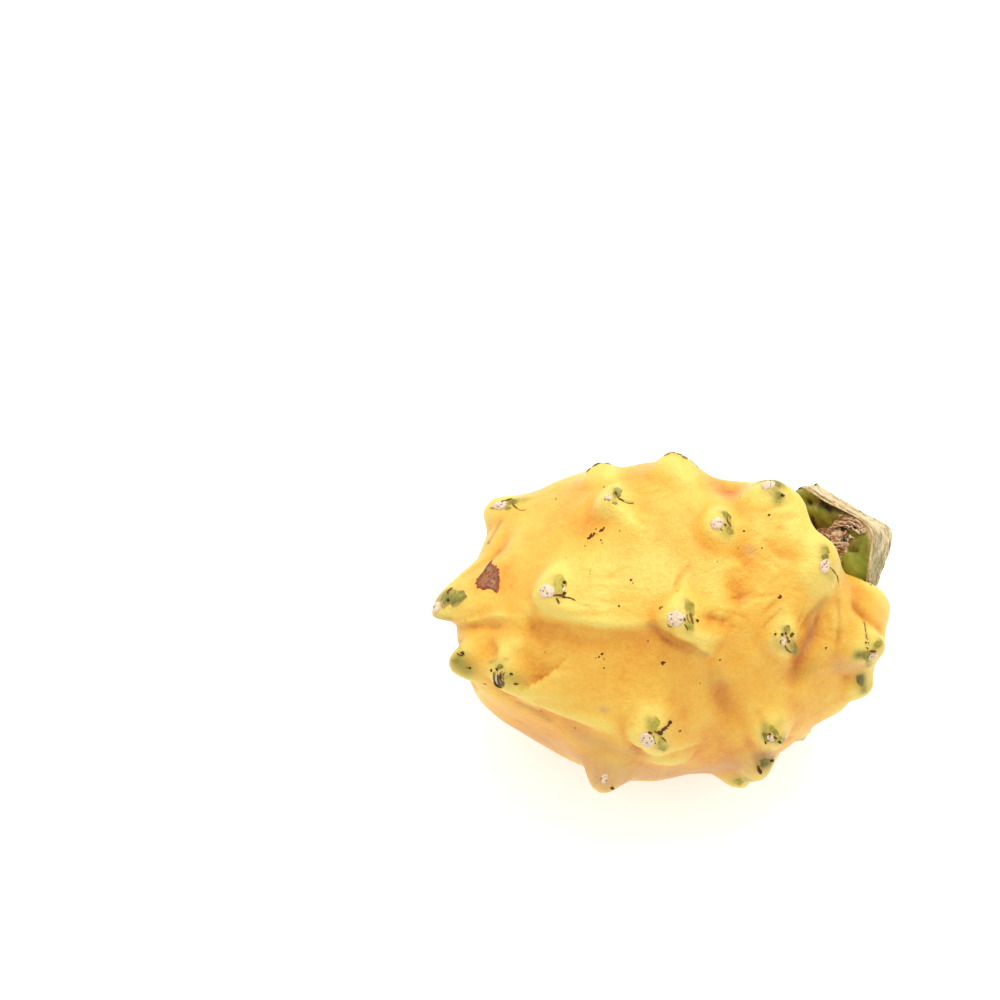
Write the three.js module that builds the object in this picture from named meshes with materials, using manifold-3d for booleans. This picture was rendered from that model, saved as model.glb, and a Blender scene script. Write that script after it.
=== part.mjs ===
// A yellow dragon fruit (yellow pitahaya) lying on its side, with the wedge of cactus stem
// that it was picked with. Millimetres, +Z up. The fruit's long axis runs along X: the scar
// of the flower is at -X and the stem at +X. Z = 0 is the surface that the fruit lies on.
//
// The fruit is one solid: a rounded body with all that stands out of it raised by formulas.
// These are broad mounds with a pointed tubercle on each, ridges that join the tubercles,
// creases, the basin round the stem and the scar of the flower.
//
// A place on the rind is given as [along, round]: along is millimetres from the middle of the
// fruit towards the stem, and round is degrees about the long axis, 0 at the top, 90 at the
// front (-Y) and -90 at the back.

import * as THREE from "three";
import { mergeVertices } from "three/addons/utils/BufferGeometryUtils.js";
import Module from "manifold-3d";

// ---------------------------------------------------------------- the fruit's body

const HALF_LENGTH = 52; // from the middle to either end, without the tubercles
const RADIUS = 38; // across, without the tubercles
const ROUNDNESS = 2.2; // 2 is an ellipsoid, more is fuller at the shoulders
const STEM_END_SWELL = 0.05; // the stem half is this much fatter than the blossom half
const AXIS_HEIGHT = 41.3; // long axis above the surface
const RIND_DETAIL = 20; // splits of each edge of the icosahedron that becomes the rind
const MERGE_WITHIN = 1e-5; // share of the radius within which two of its corners are one

// The section across the fruit isn't quite round: lobes, their share of the radius, and phase.
const OVAL = [
  { lobes: 2, share: 0.02, phase: 0.6 },
  { lobes: 3, share: 0.012, phase: -0.9 },
];

// Broad swellings without a tubercle: place, height and reach.
const SWELLINGS = [
  { place: [46, 44], height: 4, reach: 9.5 }, // shoulder at the front of the stem
  { place: [44, 26], height: 3.6, reach: 6 }, // its upper part, beside the stem's lower end
  { place: [30, 0], height: 2, reach: 8 }, // rim of the basin, between two tubercles
  { place: [31, -5], height: 4.8, reach: 6 }, // the rim's lobe under the top tubercle
  { place: [33, 5], height: -3.2, reach: 3.4 }, // notch between that lobe and the next
  { place: [34, 14], height: 2, reach: 5 }, // the next lobe
  { place: [41, 30], height: -2.4, reach: 6 }, // notch between that lobe and the shoulder
  { place: [34, 88], height: 2.6, reach: 7 }, // below the last tubercles of the front
  { place: [38, 71], height: -2.8, reach: 4.5 }, // notch between those two
  { place: [17, -15], height: -3.4, reach: 6 }, // dip between the top tubercles
  { place: [-49, 4], height: 1.6, reach: 6 }, // beside the blossom end's long tubercle
  { place: [-27, 92], height: 1.4, reach: 6 }, // blossom side of the lowest tubercle
  { place: [-8, 103], height: 1.6, reach: 11 }, // fuller low front
  { place: [-14, -60], height: 2, reach: 12 }, // back, behind the top tubercles
  { place: [-47, 50], height: 2, reach: 10 }, // above the lower tubercles of the blossom end
  { place: [-41, 110], height: -4.5, reach: 15 }, // a flatter side, low at the blossom end
  { place: [20, -37], height: -4.5, reach: 10 }, // dip behind the top tubercles
  { place: [27, -62], height: -4.5, reach: 14 }, // flatter back of the shoulder
];
// The hollow that the stem stands in. It is narrower by a share of its radius at the front.
const BASIN = { place: [45, -18], depth: 8.5, radius: 22, wall: 6, narrowing: 0.22 };
const BASIN_FRONT = new THREE.Vector3(-0.1, -0.99, 0.1);
const BASIN_SIDE = -18; // the basin is felt by what is no further than this behind its centre
const WELL = { depth: 3, radius: 9, wall: 4 }; // its deepest part, round the neck
const SCAR = { height: 4, radius: 8.5, wall: 6 }; // where the flower broke off

// ---------------------------------------------------------------- tubercles

// How far a tubercle's mound and its point reach, for size 1.
const MOUND = { toBlossom: 7.5, toStem: 14, toStemAtShoulder: 12, across: 10 };
const POINT = { toBlossom: 4.6, toStem: 6.5, across: 5.6, flatTo: 0.18, endsAt: 1.35, corner: 1.5 };
const CREST = { height: 0.9, width: 2.2, length: 7.5, offset: 1.2, sweep: 0.15 };
const HOLLOW = { depth: 0.5, width: 3, length: 6, offset: 6 };
const SHOULDER_ALONG = 18; // tubercles past this stand on the shoulder round the stem
const TUBERCLE_REACH = 34; // nothing of a tubercle is felt further away than this,
const TUBERCLE_SIDE = { none: -14, full: -9 }; // nor this far behind it

// Point is the height of the pointed part, mound that of the swelling under it, and lean how
// far the point leans over towards the blossom end.
const tubercle = (along, round, point, mound, lean, size) => ({
  place: [along, round], point, mound, lean, size,
});
const TUBERCLES = {
  nub: tubercle(-46, -20, 9.6, 1.6, 1.6, 1.55),
  rowA1: tubercle(-29, 12, 2.4, 2.8, 0.6, 1.0),
  rowA2: tubercle(-4, 30, 2.6, 3.0, 0.5, 1.0),
  rowA3: tubercle(19, 44, 1.8, 1.4, 0.3, 0.9),
  rowA4: tubercle(38, 60, 3.2, 4.0, 0.1, 1.2),
  rowB1: tubercle(-32, -62, 3.6, 4.8, 0.9, 1.2),
  rowB2: tubercle(-12, -16, 2.2, 2.6, 0.5, 0.95),
  rowB3: tubercle(9, 4, 2.2, 2.6, 0.5, 0.95),
  rowB4: tubercle(29, 22, 1.8, 4.8, 0.1, 1.1),
  rowC2: tubercle(-11, -37, 2.6, 2.4, 0.5, 1.1),
  rowC3: tubercle(5, -26, 3.2, 3.4, 0.3, 1.25),
  rowC4: tubercle(22, -7, 2.2, 4.3, 0.2, 1.2),
  rowD1: tubercle(-41, 43, 2.4, 2.4, 0.7, 0.9),
  rowD2: tubercle(-13, 69, 3.0, 3.2, 0.5, 1.05),
  rowD3: tubercle(15, 79, 2.6, 3.0, 0.4, 1.0),
  rowD4: tubercle(38, 78, 2.8, 1.2, 0.1, 1.0),
  rowE1: tubercle(-47, 35, 5.0, 2.4, 1.4, 0.9),
  rowE2: tubercle(-22, 93, 4.2, 4.4, 0.5, 1.1),
  rowE3: tubercle(12, 95, 3.4, 3.0, 0.3, 1.1),
  rowF3: tubercle(9, 109, 2.6, 2.6, 0.3, 1.0),
  rowG2: tubercle(-6, -82, 1.8, 1.6, 0.4, 1.0),
  rowG3: tubercle(17, -86, 2.0, 1.8, 0.3, 1.0),
  rowH2: tubercle(-5, 139, 1.8, 1.4, 0.4, 1.0),
  rowH3: tubercle(30, 132, 1.6, 1.0, 0.3, 1.0),
  footBlossom: tubercle(-22, 178, 5.2, 3.2, 0.3, 1.1),
  footFront: tubercle(16, 157, 5.0, 3.2, 0.2, 1.1),
  footBack: tubercle(18, 203, 5.6, 3.2, 0.2, 1.1),
  underside: tubercle(-1, 181, 1.2, 0.8, 0.3, 0.9),
};

// The back and the underside carry the same tubercles, wherever a turning spiral meets a
// place that is far enough from all the others.
const SPIRAL = { turn: 137.508, from: -41, to: 42, tries: 600, spacing: 21 };
const SPIRAL_ROUND = { from: 150, to: 268 };
const spiralTubercle = (along, round) => tubercle(along, round, 3.0, 2.8, 0.45, 1.0);

// ---------------------------------------------------------------- ridges and creases

// Each line runs from the blossom end to the stem. A ridge has a positive height. It falls off
// within front towards the fruit's front, and within back towards its top.
const line = (height, front, back, path) => ({ height, front, back, path });
const LINES = [
  line(2.2, 2.6, 8, ["nub", [-41, 11], [-32, 19], [-26, 24], [-20, 28], [-12, 30], [-6, 33]]),
  line(2.0, 2.2, 7, [[-6, 34], [-2, 38], [0, 41], [3, 45]]),
  line(1.0, 2, 3, [[-42, 32], [-40, 29], [-35, 27]]),
  line(2.6, 3, 9, ["rowD1", [-40, 57], [-31, 65], [-21, 69], [-17, 77]]),
  line(1.8, 2.4, 7, [[-16, 80], [-12, 82], [-8, 86], [-3, 90]]),
  line(1.2, 3, 4, [[-16, -17], [-13, -12], [-10, -6], [-4, 0]]),
  line(-1.6, 4, 3, [[-47, 39], [-44, 50], [-40, 60], [-34, 68], [-26, 76]]),
  line(-1.6, 3, 4, [[20, 66], [22, 61], [27, 48], [30, 37], [35, 33]]),
  line(-1.2, 1.5, 1.5, [[37, 37], [40, 49], [42, 57]]),
  line(-1.0, 3.5, 3.5, [[4, 55], [4, 61], [6, 71], [8, 78]]),
  line(-0.6, 2, 3, [[18, 10], [22, 16], [28, 20]]),
  line(-0.6, 2.5, 3.5, [[14, 0], [21, 1], [26, 1], [29, -4]]),
  line(-1.2, 3, 3, [[4, 2], [8, 7], [11, 11], [15, 17], [19, 21]]),
  line(-1.0, 3, 3, [[10, 17], [11, 25], [12, 31]]),
  line(-1.0, 2.2, 2.2, [[0, 32], [4, 34], [9, 36]]),
  line(-1.2, 3, 3, [[-41, -37], [-38, -33], [-32, -46]]),
];
const LINE_STEPS = 8; // straight pieces between two points of a line
const LINE_FADE = 5; // a line fades out over a fifth of its length at either end
const LINE_END = 0.2; // share of the height that is left at its very ends

// ---------------------------------------------------------------- the stem

// The wedge was cut from the edge of a three-cornered cactus stem. Its own axes are: long,
// down its length, out, from the stem's edge to the cut face, and deep, across the face.
const KNOT = { x: 44.2, y: 1.7, z: 18.3 }; // where the fruit grew on the edge, from the axis
const STEM_LONG = new THREE.Vector3(0.24, -0.97, -0.11);
const STEM_OUT = new THREE.Vector3(0.94, 0.2, 0.27);
// Outlines as [long, out], seen square to the wedge's near side.
const STEM_EDGE = [[-17, -4], [-13, -5], [-6.5, -5.5], [-0.5, -3], [3.5, -4.5], [9, -5], [15, -1]];
const STEM_NEAR = [[-17, -1.5], [-9, 1], [-5, 3.2], [0, 6], [4.5, 7], [8, 5], [12, 1.5], [15, -1]];
const STEM_FAR = [[-17, 3.4], [-12, 7], [-6, 10], [1, 13.5], [5.5, 11], [10, 6], [15, 1]];
const STEM_DEPTH = { near: 9.5, far: 7 }; // reach of the cut face to either side of the edge
const STEM_SECTIONS = 22;
const FLANK = { steps: 9, curve: 0.55, drawnIn: 0.3, drawnWithin: 4 }; // drawn in at the knot
const FACE = { steps: 7, hollow: 0.7 }; // the cut face has dried and sunk
const TIP_DEPTH = 0.2; // share of the depth that is left at the wedge's two tips
const SHARPEST = 0.5; // limits how far the sharpest corners move out

const NECK = { base: 4.2, collar: 5.4, sections: 9, sides: 20, sunk: 3, seat: 2 };
const COLLAR = { from: 0.3, to: 0.9 }; // shares of the neck's length between which it widens
const KNOBS = [
  { count: 3, share: 0.1, twist: 4 },
  { count: 5, share: 0.06, twist: -7 },
];
const GAP = 0.3; // clearance where one piece meets another

// ---------------------------------------------------------------- small helpers

const bell = (x) => Math.exp(-x * x);
const plateau = (x, wall) => Math.exp(-(x ** wall)); // flat on top, steeper with a higher wall
const smooth = (from, to, x) => {
  const t = Math.min(Math.max((x - from) / (to - from), 0), 1);
  return t * t * (3 - 2 * t);
};

// A Catmull-Rom curve through flat points, as a list of points.
function through(points, steps) {
  const vectors = points.map(([x, y]) => new THREE.Vector2(x, y));
  return new THREE.SplineCurve(vectors).getPoints(steps * (points.length - 1));
}

// ---------------------------------------------------------------- the rind's formula

// Point and outward normal of the plain body, in the direction of a unit vector.
function bodyAt(direction) {
  const aside = Math.hypot(direction.y, direction.z);
  const angle = Math.atan2(-direction.y, direction.z);
  const power = Math.abs(direction.x) ** ROUNDNESS + aside ** ROUNDNESS;
  const scale = power ** (-1 / ROUNDNESS);
  const x = HALF_LENGTH * direction.x * scale;
  const swell = 1 + (STEM_END_SWELL * x) / HALF_LENGTH;
  let oval = 1;
  for (const { lobes, share, phase } of OVAL) oval += share * Math.cos(lobes * angle + phase);
  const radius = RADIUS * aside * scale * swell * oval;
  const slopeX = (Math.sign(x) * Math.abs(x / HALF_LENGTH) ** (ROUNDNESS - 1)) / HALF_LENGTH;
  const slopeR = (radius / RADIUS) ** (ROUNDNESS - 1) / RADIUS;
  const around = (length, r) => new THREE.Vector3(length, -r * Math.sin(angle), r * Math.cos(angle));
  return { point: around(x, radius), normal: around(slopeX, slopeR).normalize() };
}

// The plain body at a place on the rind.
function placeAt([along, round]) {
  const angle = THREE.MathUtils.degToRad(round);
  const share = Math.min(Math.abs(along) / HALF_LENGTH, 0.999);
  const aside = (1 - share ** ROUNDNESS) ** (1 / ROUNDNESS);
  const direction = new THREE.Vector3(
    Math.sign(along) * share,
    -aside * Math.sin(angle),
    aside * Math.cos(angle),
  );
  return bodyAt(direction.normalize());
}

// A tubercle with its own axes: out of the rind, towards the blossom end, and across.
function withAxes(shape) {
  const { point, normal } = placeAt(shape.place);
  const toBlossom = new THREE.Vector3(-1, 0, 0);
  toBlossom.addScaledVector(normal, normal.x).normalize();
  const across = new THREE.Vector3().crossVectors(normal, toBlossom);
  const leaning = normal.clone().addScaledVector(toBlossom, shape.lean).normalize();
  return { ...shape, foot: point, normal, toBlossom, across, leaning };
}

const basin = placeAt(BASIN.place);

function spiralTubercles(taken) {
  const feet = taken.map((shape) => placeAt(shape.place).point);
  const found = [];
  for (let i = 0; i < SPIRAL.tries; i += 1) {
    const along = THREE.MathUtils.lerp(SPIRAL.from, SPIRAL.to, i / SPIRAL.tries);
    const round = (i * SPIRAL.turn) % 360;
    const foot = placeAt([along, round]).point;
    const behind = round > SPIRAL_ROUND.from && round < SPIRAL_ROUND.to;
    if (behind && feet.every((other) => other.distanceTo(foot) > SPIRAL.spacing)) {
      feet.push(foot);
      found.push(spiralTubercle(along, round));
    }
  }
  return found;
}

const named = Object.values(TUBERCLES);
const tubercles = [...named, ...spiralTubercles(named)].map(withAxes);

// How one tubercle moves a point of the body.
function tubercleLift(shape, point, normal) {
  const offset = point.clone().sub(shape.foot);
  const lift = new THREE.Vector3();
  if (offset.length() > TUBERCLE_REACH) return lift;
  const { size } = shape;
  const blossom = offset.dot(shape.toBlossom) / size;
  const across = Math.abs(offset.dot(shape.across)) / size;
  const sameSide = smooth(TUBERCLE_SIDE.none, TUBERCLE_SIDE.full, offset.dot(shape.normal));
  const toStem = shape.place[0] < SHOULDER_ALONG ? MOUND.toStem : MOUND.toStemAtShoulder;
  const length = blossom < 0 ? toStem : MOUND.toBlossom;
  const mound = bell(blossom / length) * bell(across / MOUND.across);
  const fromCrest = blossom + CREST.offset + CREST.sweep * across;
  const crest = bell(fromCrest / CREST.width) * bell(across / CREST.length);
  const hollow = bell((blossom + HOLLOW.offset) / HOLLOW.width) * bell(across / HOLLOW.length);
  const reach = blossom < 0 ? POINT.toStem : POINT.toBlossom;
  const lengthwise = (Math.abs(blossom) / reach) ** POINT.corner;
  const away = (lengthwise + (across / POINT.across) ** POINT.corner) ** (1 / POINT.corner);
  const peak = 1 - smooth(POINT.flatTo, POINT.endsAt, away);
  const rise = shape.mound * mound + CREST.height * crest - HOLLOW.depth * hollow;
  lift.addScaledVector(normal, rise * sameSide);
  return lift.addScaledVector(shape.leaning, shape.point * peak * sameSide);
}

// The lines as chains of points on the plain body.
const chains = LINES.map(({ path, ...profile }) => {
  const places = path.map((stop) => (typeof stop === "string" ? TUBERCLES[stop].place : stop));
  const points = through(places, LINE_STEPS).map(({ x, y }) => placeAt([x, y]).point);
  return { ...profile, points };
});

// Height of one ridge or crease at a point of the body.
function lineHeight({ height, front, back, points }, point, normal) {
  let nearest = Infinity;
  let along = 0;
  let towardsTop = false;
  const pieces = points.length - 1;
  for (let i = 0; i < pieces; i += 1) {
    const piece = points[i + 1].clone().sub(points[i]);
    const offset = point.clone().sub(points[i]);
    const share = THREE.MathUtils.clamp(offset.dot(piece) / piece.lengthSq(), 0, 1);
    offset.addScaledVector(piece, -share);
    if (offset.length() < nearest) {
      nearest = offset.length();
      along = (i + share) / pieces;
      towardsTop = new THREE.Vector3().crossVectors(normal, piece).dot(offset) > 0;
    }
  }
  const fade = Math.min(Math.min(along, 1 - along) * LINE_FADE + LINE_END, 1);
  return height * fade * bell(nearest / (towardsTop ? back : front));
}

// How far the basin and its well draw a point of the body in.
function basinDepth(point) {
  const offset = point.clone().sub(basin.point);
  const behind = offset.dot(basin.normal);
  if (behind < BASIN_SIDE) return 0;
  const away = offset.addScaledVector(basin.normal, -behind).length();
  const frontward = Math.max(offset.dot(BASIN_FRONT) / Math.max(away, 1), 0);
  const radius = BASIN.radius * (1 - BASIN.narrowing * frontward);
  const well = WELL.depth * plateau(away / WELL.radius, WELL.wall);
  return BASIN.depth * plateau(away / radius, BASIN.wall) + well;
}

// The finished rind in the direction of a unit vector, with the long axis at height 0.
function rindAt(direction) {
  const { point, normal } = bodyAt(direction);
  const lift = new THREE.Vector3();
  for (const shape of tubercles) lift.add(tubercleLift(shape, point, normal));
  for (const chain of chains) lift.addScaledVector(normal, lineHeight(chain, point, normal));
  for (const { place, height, reach } of SWELLINGS) {
    const away = placeAt(place).point.distanceTo(point);
    lift.addScaledVector(normal, height * bell(away / reach));
  }
  lift.addScaledVector(basin.normal, -basinDepth(point));
  const aside = Math.hypot(point.y, point.z);
  if (point.x < 0) lift.x += SCAR.height * plateau(aside / SCAR.radius, SCAR.wall);
  return point.add(lift);
}

function rindGeometry() {
  const sphere = new THREE.IcosahedronGeometry(1, RIND_DETAIL);
  sphere.deleteAttribute("normal");
  sphere.deleteAttribute("uv");
  const geometry = mergeVertices(sphere, MERGE_WITHIN);
  const position = geometry.getAttribute("position");
  const direction = new THREE.Vector3();
  for (let i = 0; i < position.count; i += 1) {
    const point = rindAt(direction.fromBufferAttribute(position, i).normalize());
    position.setXYZ(i, point.x, point.y, point.z + AXIS_HEIGHT);
  }
  return geometry;
}

// ---------------------------------------------------------------- stem wedge and neck

const knot = new THREE.Vector3(KNOT.x, KNOT.y, KNOT.z + AXIS_HEIGHT);
const long = STEM_LONG.clone().normalize();
const out = STEM_OUT.clone().addScaledVector(long, -STEM_OUT.dot(long)).normalize();
const deep = new THREE.Vector3().crossVectors(out, long);

// Value of an outline at a distance down the wedge.
function outlineAt(outline, distance) {
  const points = through(outline, LINE_STEPS);
  const next = Math.max(points.findIndex(({ x }) => x >= distance - 1e-6), 1);
  const [a, b] = [points[next - 1], points[next]];
  return THREE.MathUtils.mapLinear(distance, a.x, b.x, a.y, b.y);
}

// One closed section of the wedge, as [out, deep]: the far side, the cut face and the near side.
function wedgeRing(share) {
  const bulge = Math.sqrt(Math.max(1 - (2 * share - 1) ** 4, TIP_DEPTH ** 2));
  const nearDepth = STEM_DEPTH.near * bulge;
  const farDepth = STEM_DEPTH.far * bulge;
  const distance = wedgeDistance(share);
  const edge = outlineAt(STEM_EDGE, distance);
  const near = outlineAt(STEM_NEAR, distance);
  const far = outlineAt(STEM_FAR, distance);
  const flat = FLANK.curve + FLANK.drawnIn * bell(distance / FLANK.drawnWithin);
  const ring = [];
  for (let i = 0; i < FLANK.steps; i += 1) {
    const t = i / FLANK.steps;
    ring.push([edge + (far - edge) * t, farDepth * t ** flat]);
  }
  for (let i = 0; i < FACE.steps; i += 1) {
    const t = i / FACE.steps;
    const sunk = FACE.hollow * Math.sin(Math.PI * t) * bulge;
    ring.push([far + (near - far) * t - sunk, farDepth - (farDepth + nearDepth) * t]);
  }
  for (let i = 0; i < FLANK.steps; i += 1) {
    const t = 1 - i / FLANK.steps;
    ring.push([edge + (near - edge) * t, -nearDepth * t ** flat]);
  }
  return ring.map(([o, d]) => new THREE.Vector2(o, d));
}

function wedgeDistance(share) {
  const first = STEM_EDGE[0][0];
  const last = STEM_EDGE[STEM_EDGE.length - 1][0];
  return THREE.MathUtils.lerp(first, last, share);
}

// The ring moved outwards, square to its sides.
function grownRing(ring, grown) {
  const outwards = ring.map((point, i) => {
    const side = ring[(i + 1) % ring.length].clone().sub(point).normalize();
    return new THREE.Vector2(-side.y, side.x);
  });
  return ring.map((point, i) => {
    const both = outwards.at(i - 1).clone().add(outwards[i]);
    const reach = (2 * grown) / Math.max(both.lengthSq(), SHARPEST);
    return point.clone().addScaledVector(both, reach);
  });
}

// Grown is an offset outwards, for cutting what the wedge lies against.
function wedgeSection(share, grown) {
  const distance = wedgeDistance(share) + (2 * share - 1) * grown;
  const centre = knot.clone().addScaledVector(long, distance);
  return grownRing(wedgeRing(share), grown)
    .map(({ x, y }) => centre.clone().addScaledVector(out, x).addScaledVector(deep, y));
}

// A closed skin over sections that all have as many points, with flat fans over its ends.
function loft(sections) {
  const sides = sections[0].length;
  const points = sections.flat();
  const faces = [];
  for (let i = 0; i + 1 < sections.length; i += 1) {
    for (let j = 0; j < sides; j += 1) {
      const k = (j + 1) % sides;
      const [a, b] = [i * sides + j, i * sides + k];
      faces.push(a, b, b + sides, a, b + sides, a + sides);
    }
  }
  for (const [start, flip] of [[0, true], [points.length - sides, false]]) {
    const middle = points.length;
    const ring = points.slice(start, start + sides);
    points.push(ring.reduce((sum, p) => sum.add(p), new THREE.Vector3()).divideScalar(sides));
    for (let j = 0; j < sides; j += 1) {
      const pair = [start + j, start + ((j + 1) % sides)];
      if (flip) pair.reverse();
      faces.push(pair[0], pair[1], middle);
    }
  }
  const geometry = new THREE.BufferGeometry().setFromPoints(points);
  geometry.setIndex(faces);
  return geometry;
}

function wedgeGeometry(grown) {
  const sections = [];
  for (let i = 0; i <= STEM_SECTIONS; i += 1) sections.push(wedgeSection(i / STEM_SECTIONS, grown));
  return loft(sections);
}

// The corky neck: a knobbly column from its seat in the floor of the basin to the stem's edge.
function neckColumn(grown) {
  const below = BASIN.depth + WELL.depth + NECK.seat + grown;
  const floor = basin.point.clone().addScaledVector(basin.normal, -below);
  floor.z += AXIS_HEIGHT;
  const top = knot.clone().addScaledVector(out, NECK.sunk);
  const axis = top.clone().sub(floor).normalize();
  const aside = new THREE.Vector3().crossVectors(axis, new THREE.Vector3(0, 0, 1)).normalize();
  const upward = new THREE.Vector3().crossVectors(axis, aside);
  const sections = [];
  for (let i = 0; i <= NECK.sections; i += 1) {
    const share = i / NECK.sections;
    const centre = floor.clone().lerp(top, share);
    const wide = smooth(COLLAR.from, COLLAR.to, share);
    const radius = THREE.MathUtils.lerp(NECK.base, NECK.collar, wide) + grown;
    const ring = [];
    for (let j = 0; j < NECK.sides; j += 1) {
      const angle = (2 * Math.PI * j) / NECK.sides;
      let knobbly = radius;
      for (const knob of KNOBS) {
        knobbly += radius * knob.share * Math.cos(knob.count * angle + knob.twist * share);
      }
      const point = centre.clone().addScaledVector(aside, knobbly * Math.cos(angle));
      ring.push(point.addScaledVector(upward, knobbly * Math.sin(angle)));
    }
    sections.push(ring);
  }
  return loft(sections);
}

// ---------------------------------------------------------------- solids

const wasm = await Module();
wasm.setup();

function solid(geometry) {
  return new wasm.Manifold(new wasm.Mesh({
    numProp: 3,
    vertProperties: new Float32Array(geometry.getAttribute("position").array),
    triVerts: new Uint32Array(geometry.getIndex().array),
  }));
}

function fromSolid(body) {
  const { vertProperties, triVerts } = body.getMesh();
  const geometry = new THREE.BufferGeometry();
  geometry.setAttribute("position", new THREE.BufferAttribute(vertProperties, 3));
  geometry.setIndex(new THREE.BufferAttribute(triVerts, 1));
  return geometry;
}

// The rind is flat where it stands on the surface. It is pressed in where the wedge lies
// against it, and holds the neck's seat.
function fruitGeometry() {
  const standing = solid(rindGeometry()).trimByPlane([0, 0, 1], 0);
  const pressed = standing.subtract(solid(wedgeGeometry(GAP)));
  return fromSolid(pressed.subtract(solid(neckColumn(GAP))));
}

function neckGeometry() {
  return fromSolid(solid(neckColumn(0)).subtract(solid(wedgeGeometry(GAP))));
}

// ---------------------------------------------------------------- the part

function piece(name, geometry, color, roughness) {
  geometry.computeVertexNormals();
  const material = new THREE.MeshStandardMaterial({ color, roughness, metalness: 0 });
  const mesh = new THREE.Mesh(geometry, material);
  mesh.name = name;
  return mesh;
}

const part = new THREE.Group();
part.add(piece("fruit", fruitGeometry(), 0xf6c250, 0.45));
part.add(piece("stem_piece", wedgeGeometry(0), 0x6f7a35, 0.6));
part.add(piece("stem_neck", neckGeometry(), 0xa88363, 0.9));

// The origin is the middle of the part's base.
const middle = new THREE.Box3().setFromObject(part).getCenter(new THREE.Vector3());
part.position.set(-middle.x, -middle.y, 0);
part.updateMatrixWorld(true);

export default part;
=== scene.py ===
"""A yellow dragon fruit lying on its side, with the wedge of cactus stem that it was picked with.

The rind is the CAD fruit's own formula on a finer net, with small folds, wrinkles and lumps added.
Shapes are worked out in millimetres in the fruit's own coordinates (its long axis along X, the
flower's scar at -X, the surface that it lies on at Z = 0), and then put in the frame.

A place on the rind is (along, round): millimetres from the fruit's middle towards the stem, and
degrees about the long axis, 0 at the top, 90 at the front (-Y) and -90 at the back. Beside such a
place, stemward and topward are millimetres along the rind.
"""

import itertools
import math

import bmesh
import bpy
import numpy as np
from mathutils import Matrix, Vector
from mathutils.bvhtree import BVHTree


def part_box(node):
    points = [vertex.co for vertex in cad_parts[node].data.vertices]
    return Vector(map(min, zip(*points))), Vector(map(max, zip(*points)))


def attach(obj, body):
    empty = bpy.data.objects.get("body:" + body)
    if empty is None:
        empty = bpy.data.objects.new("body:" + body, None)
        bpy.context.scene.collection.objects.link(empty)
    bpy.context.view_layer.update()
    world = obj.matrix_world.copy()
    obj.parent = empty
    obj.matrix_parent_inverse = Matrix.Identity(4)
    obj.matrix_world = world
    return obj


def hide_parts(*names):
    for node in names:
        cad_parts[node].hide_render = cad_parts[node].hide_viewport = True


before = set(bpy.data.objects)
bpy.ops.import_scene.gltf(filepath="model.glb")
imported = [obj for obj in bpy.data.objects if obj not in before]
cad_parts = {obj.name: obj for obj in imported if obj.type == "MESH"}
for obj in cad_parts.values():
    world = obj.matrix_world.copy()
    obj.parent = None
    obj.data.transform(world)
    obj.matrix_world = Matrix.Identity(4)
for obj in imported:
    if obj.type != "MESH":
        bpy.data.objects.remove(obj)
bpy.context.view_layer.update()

# ------------------------------------------------------------ the fruit's sizes, in millimetres

MM = 0.001
HALF_LENGTH = 52.0
RADIUS = 38.0
ROUNDNESS = 2.2
LAST_SHARE = 0.999  # of the half length, past which no place lies
STEM_END_SWELL = 0.05
AXIS_HEIGHT = 41.3
OVAL = ((2, 0.02, 0.6), (3, 0.012, -0.9))  # lobes, share of the radius, phase
FULL_DETAIL = 99  # splits of each edge of the icosahedron
SKIN_DETAIL = FULL_DETAIL
SKIN_INSET = 0.6  # room that the rind leaves for what stands on it, within the CAD fruit's box

# Broad swellings without a tubercle: place, height, reach.
SWELLINGS = (
    ((46, 44), 4.0, 9.5),
    ((44, 26), 3.6, 6),
    ((30, 0), 2.0, 8),
    ((31, -5), 4.8, 6),
    ((33, 5), -3.2, 3.4),
    ((34, 14), 2.0, 5),
    ((41, 30), -2.4, 6),
    ((34, 88), 2.6, 7),
    ((38, 71), -2.8, 4.5),
    ((17, -15), -3.4, 6),
    ((-49, 4), 1.6, 6),
    ((-27, 92), 1.4, 6),
    ((-8, 103), 1.6, 11),
    ((-14, -60), 2.0, 12),
    ((-47, 50), 2.0, 10),
    ((-41, 110), -4.5, 15),
    ((20, -37), -4.5, 10),
    ((27, -62), -4.5, 14),
)
BASIN = dict(place=(45, -18), depth=8.5, radius=22, wall=6, narrowing=0.22, side=-18)
BASIN_FRONT = np.array([-0.1, -0.99, 0.1])
WELL = dict(depth=3.0, radius=9.0, wall=4)
FLOWER_END = dict(height=4.0, radius=8.5, wall=6)

MOUND = dict(to_blossom=7.5, to_stem=14.0, to_stem_at_shoulder=12.0, across=10.0)
POINT = dict(to_blossom=4.6, to_stem=6.5, across=5.6, flat_to=0.18, ends_at=1.35, corner=1.5)
CREST = dict(height=0.9, width=2.2, length=7.5, offset=1.2, sweep=0.15)
HOLLOW = dict(depth=0.5, width=3.0, length=6.0, offset=6.0)
SHOULDER_ALONG = 18.0
TUBERCLE_REACH = 34.0
TUBERCLE_SIDE = (-14.0, -9.0)

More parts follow.
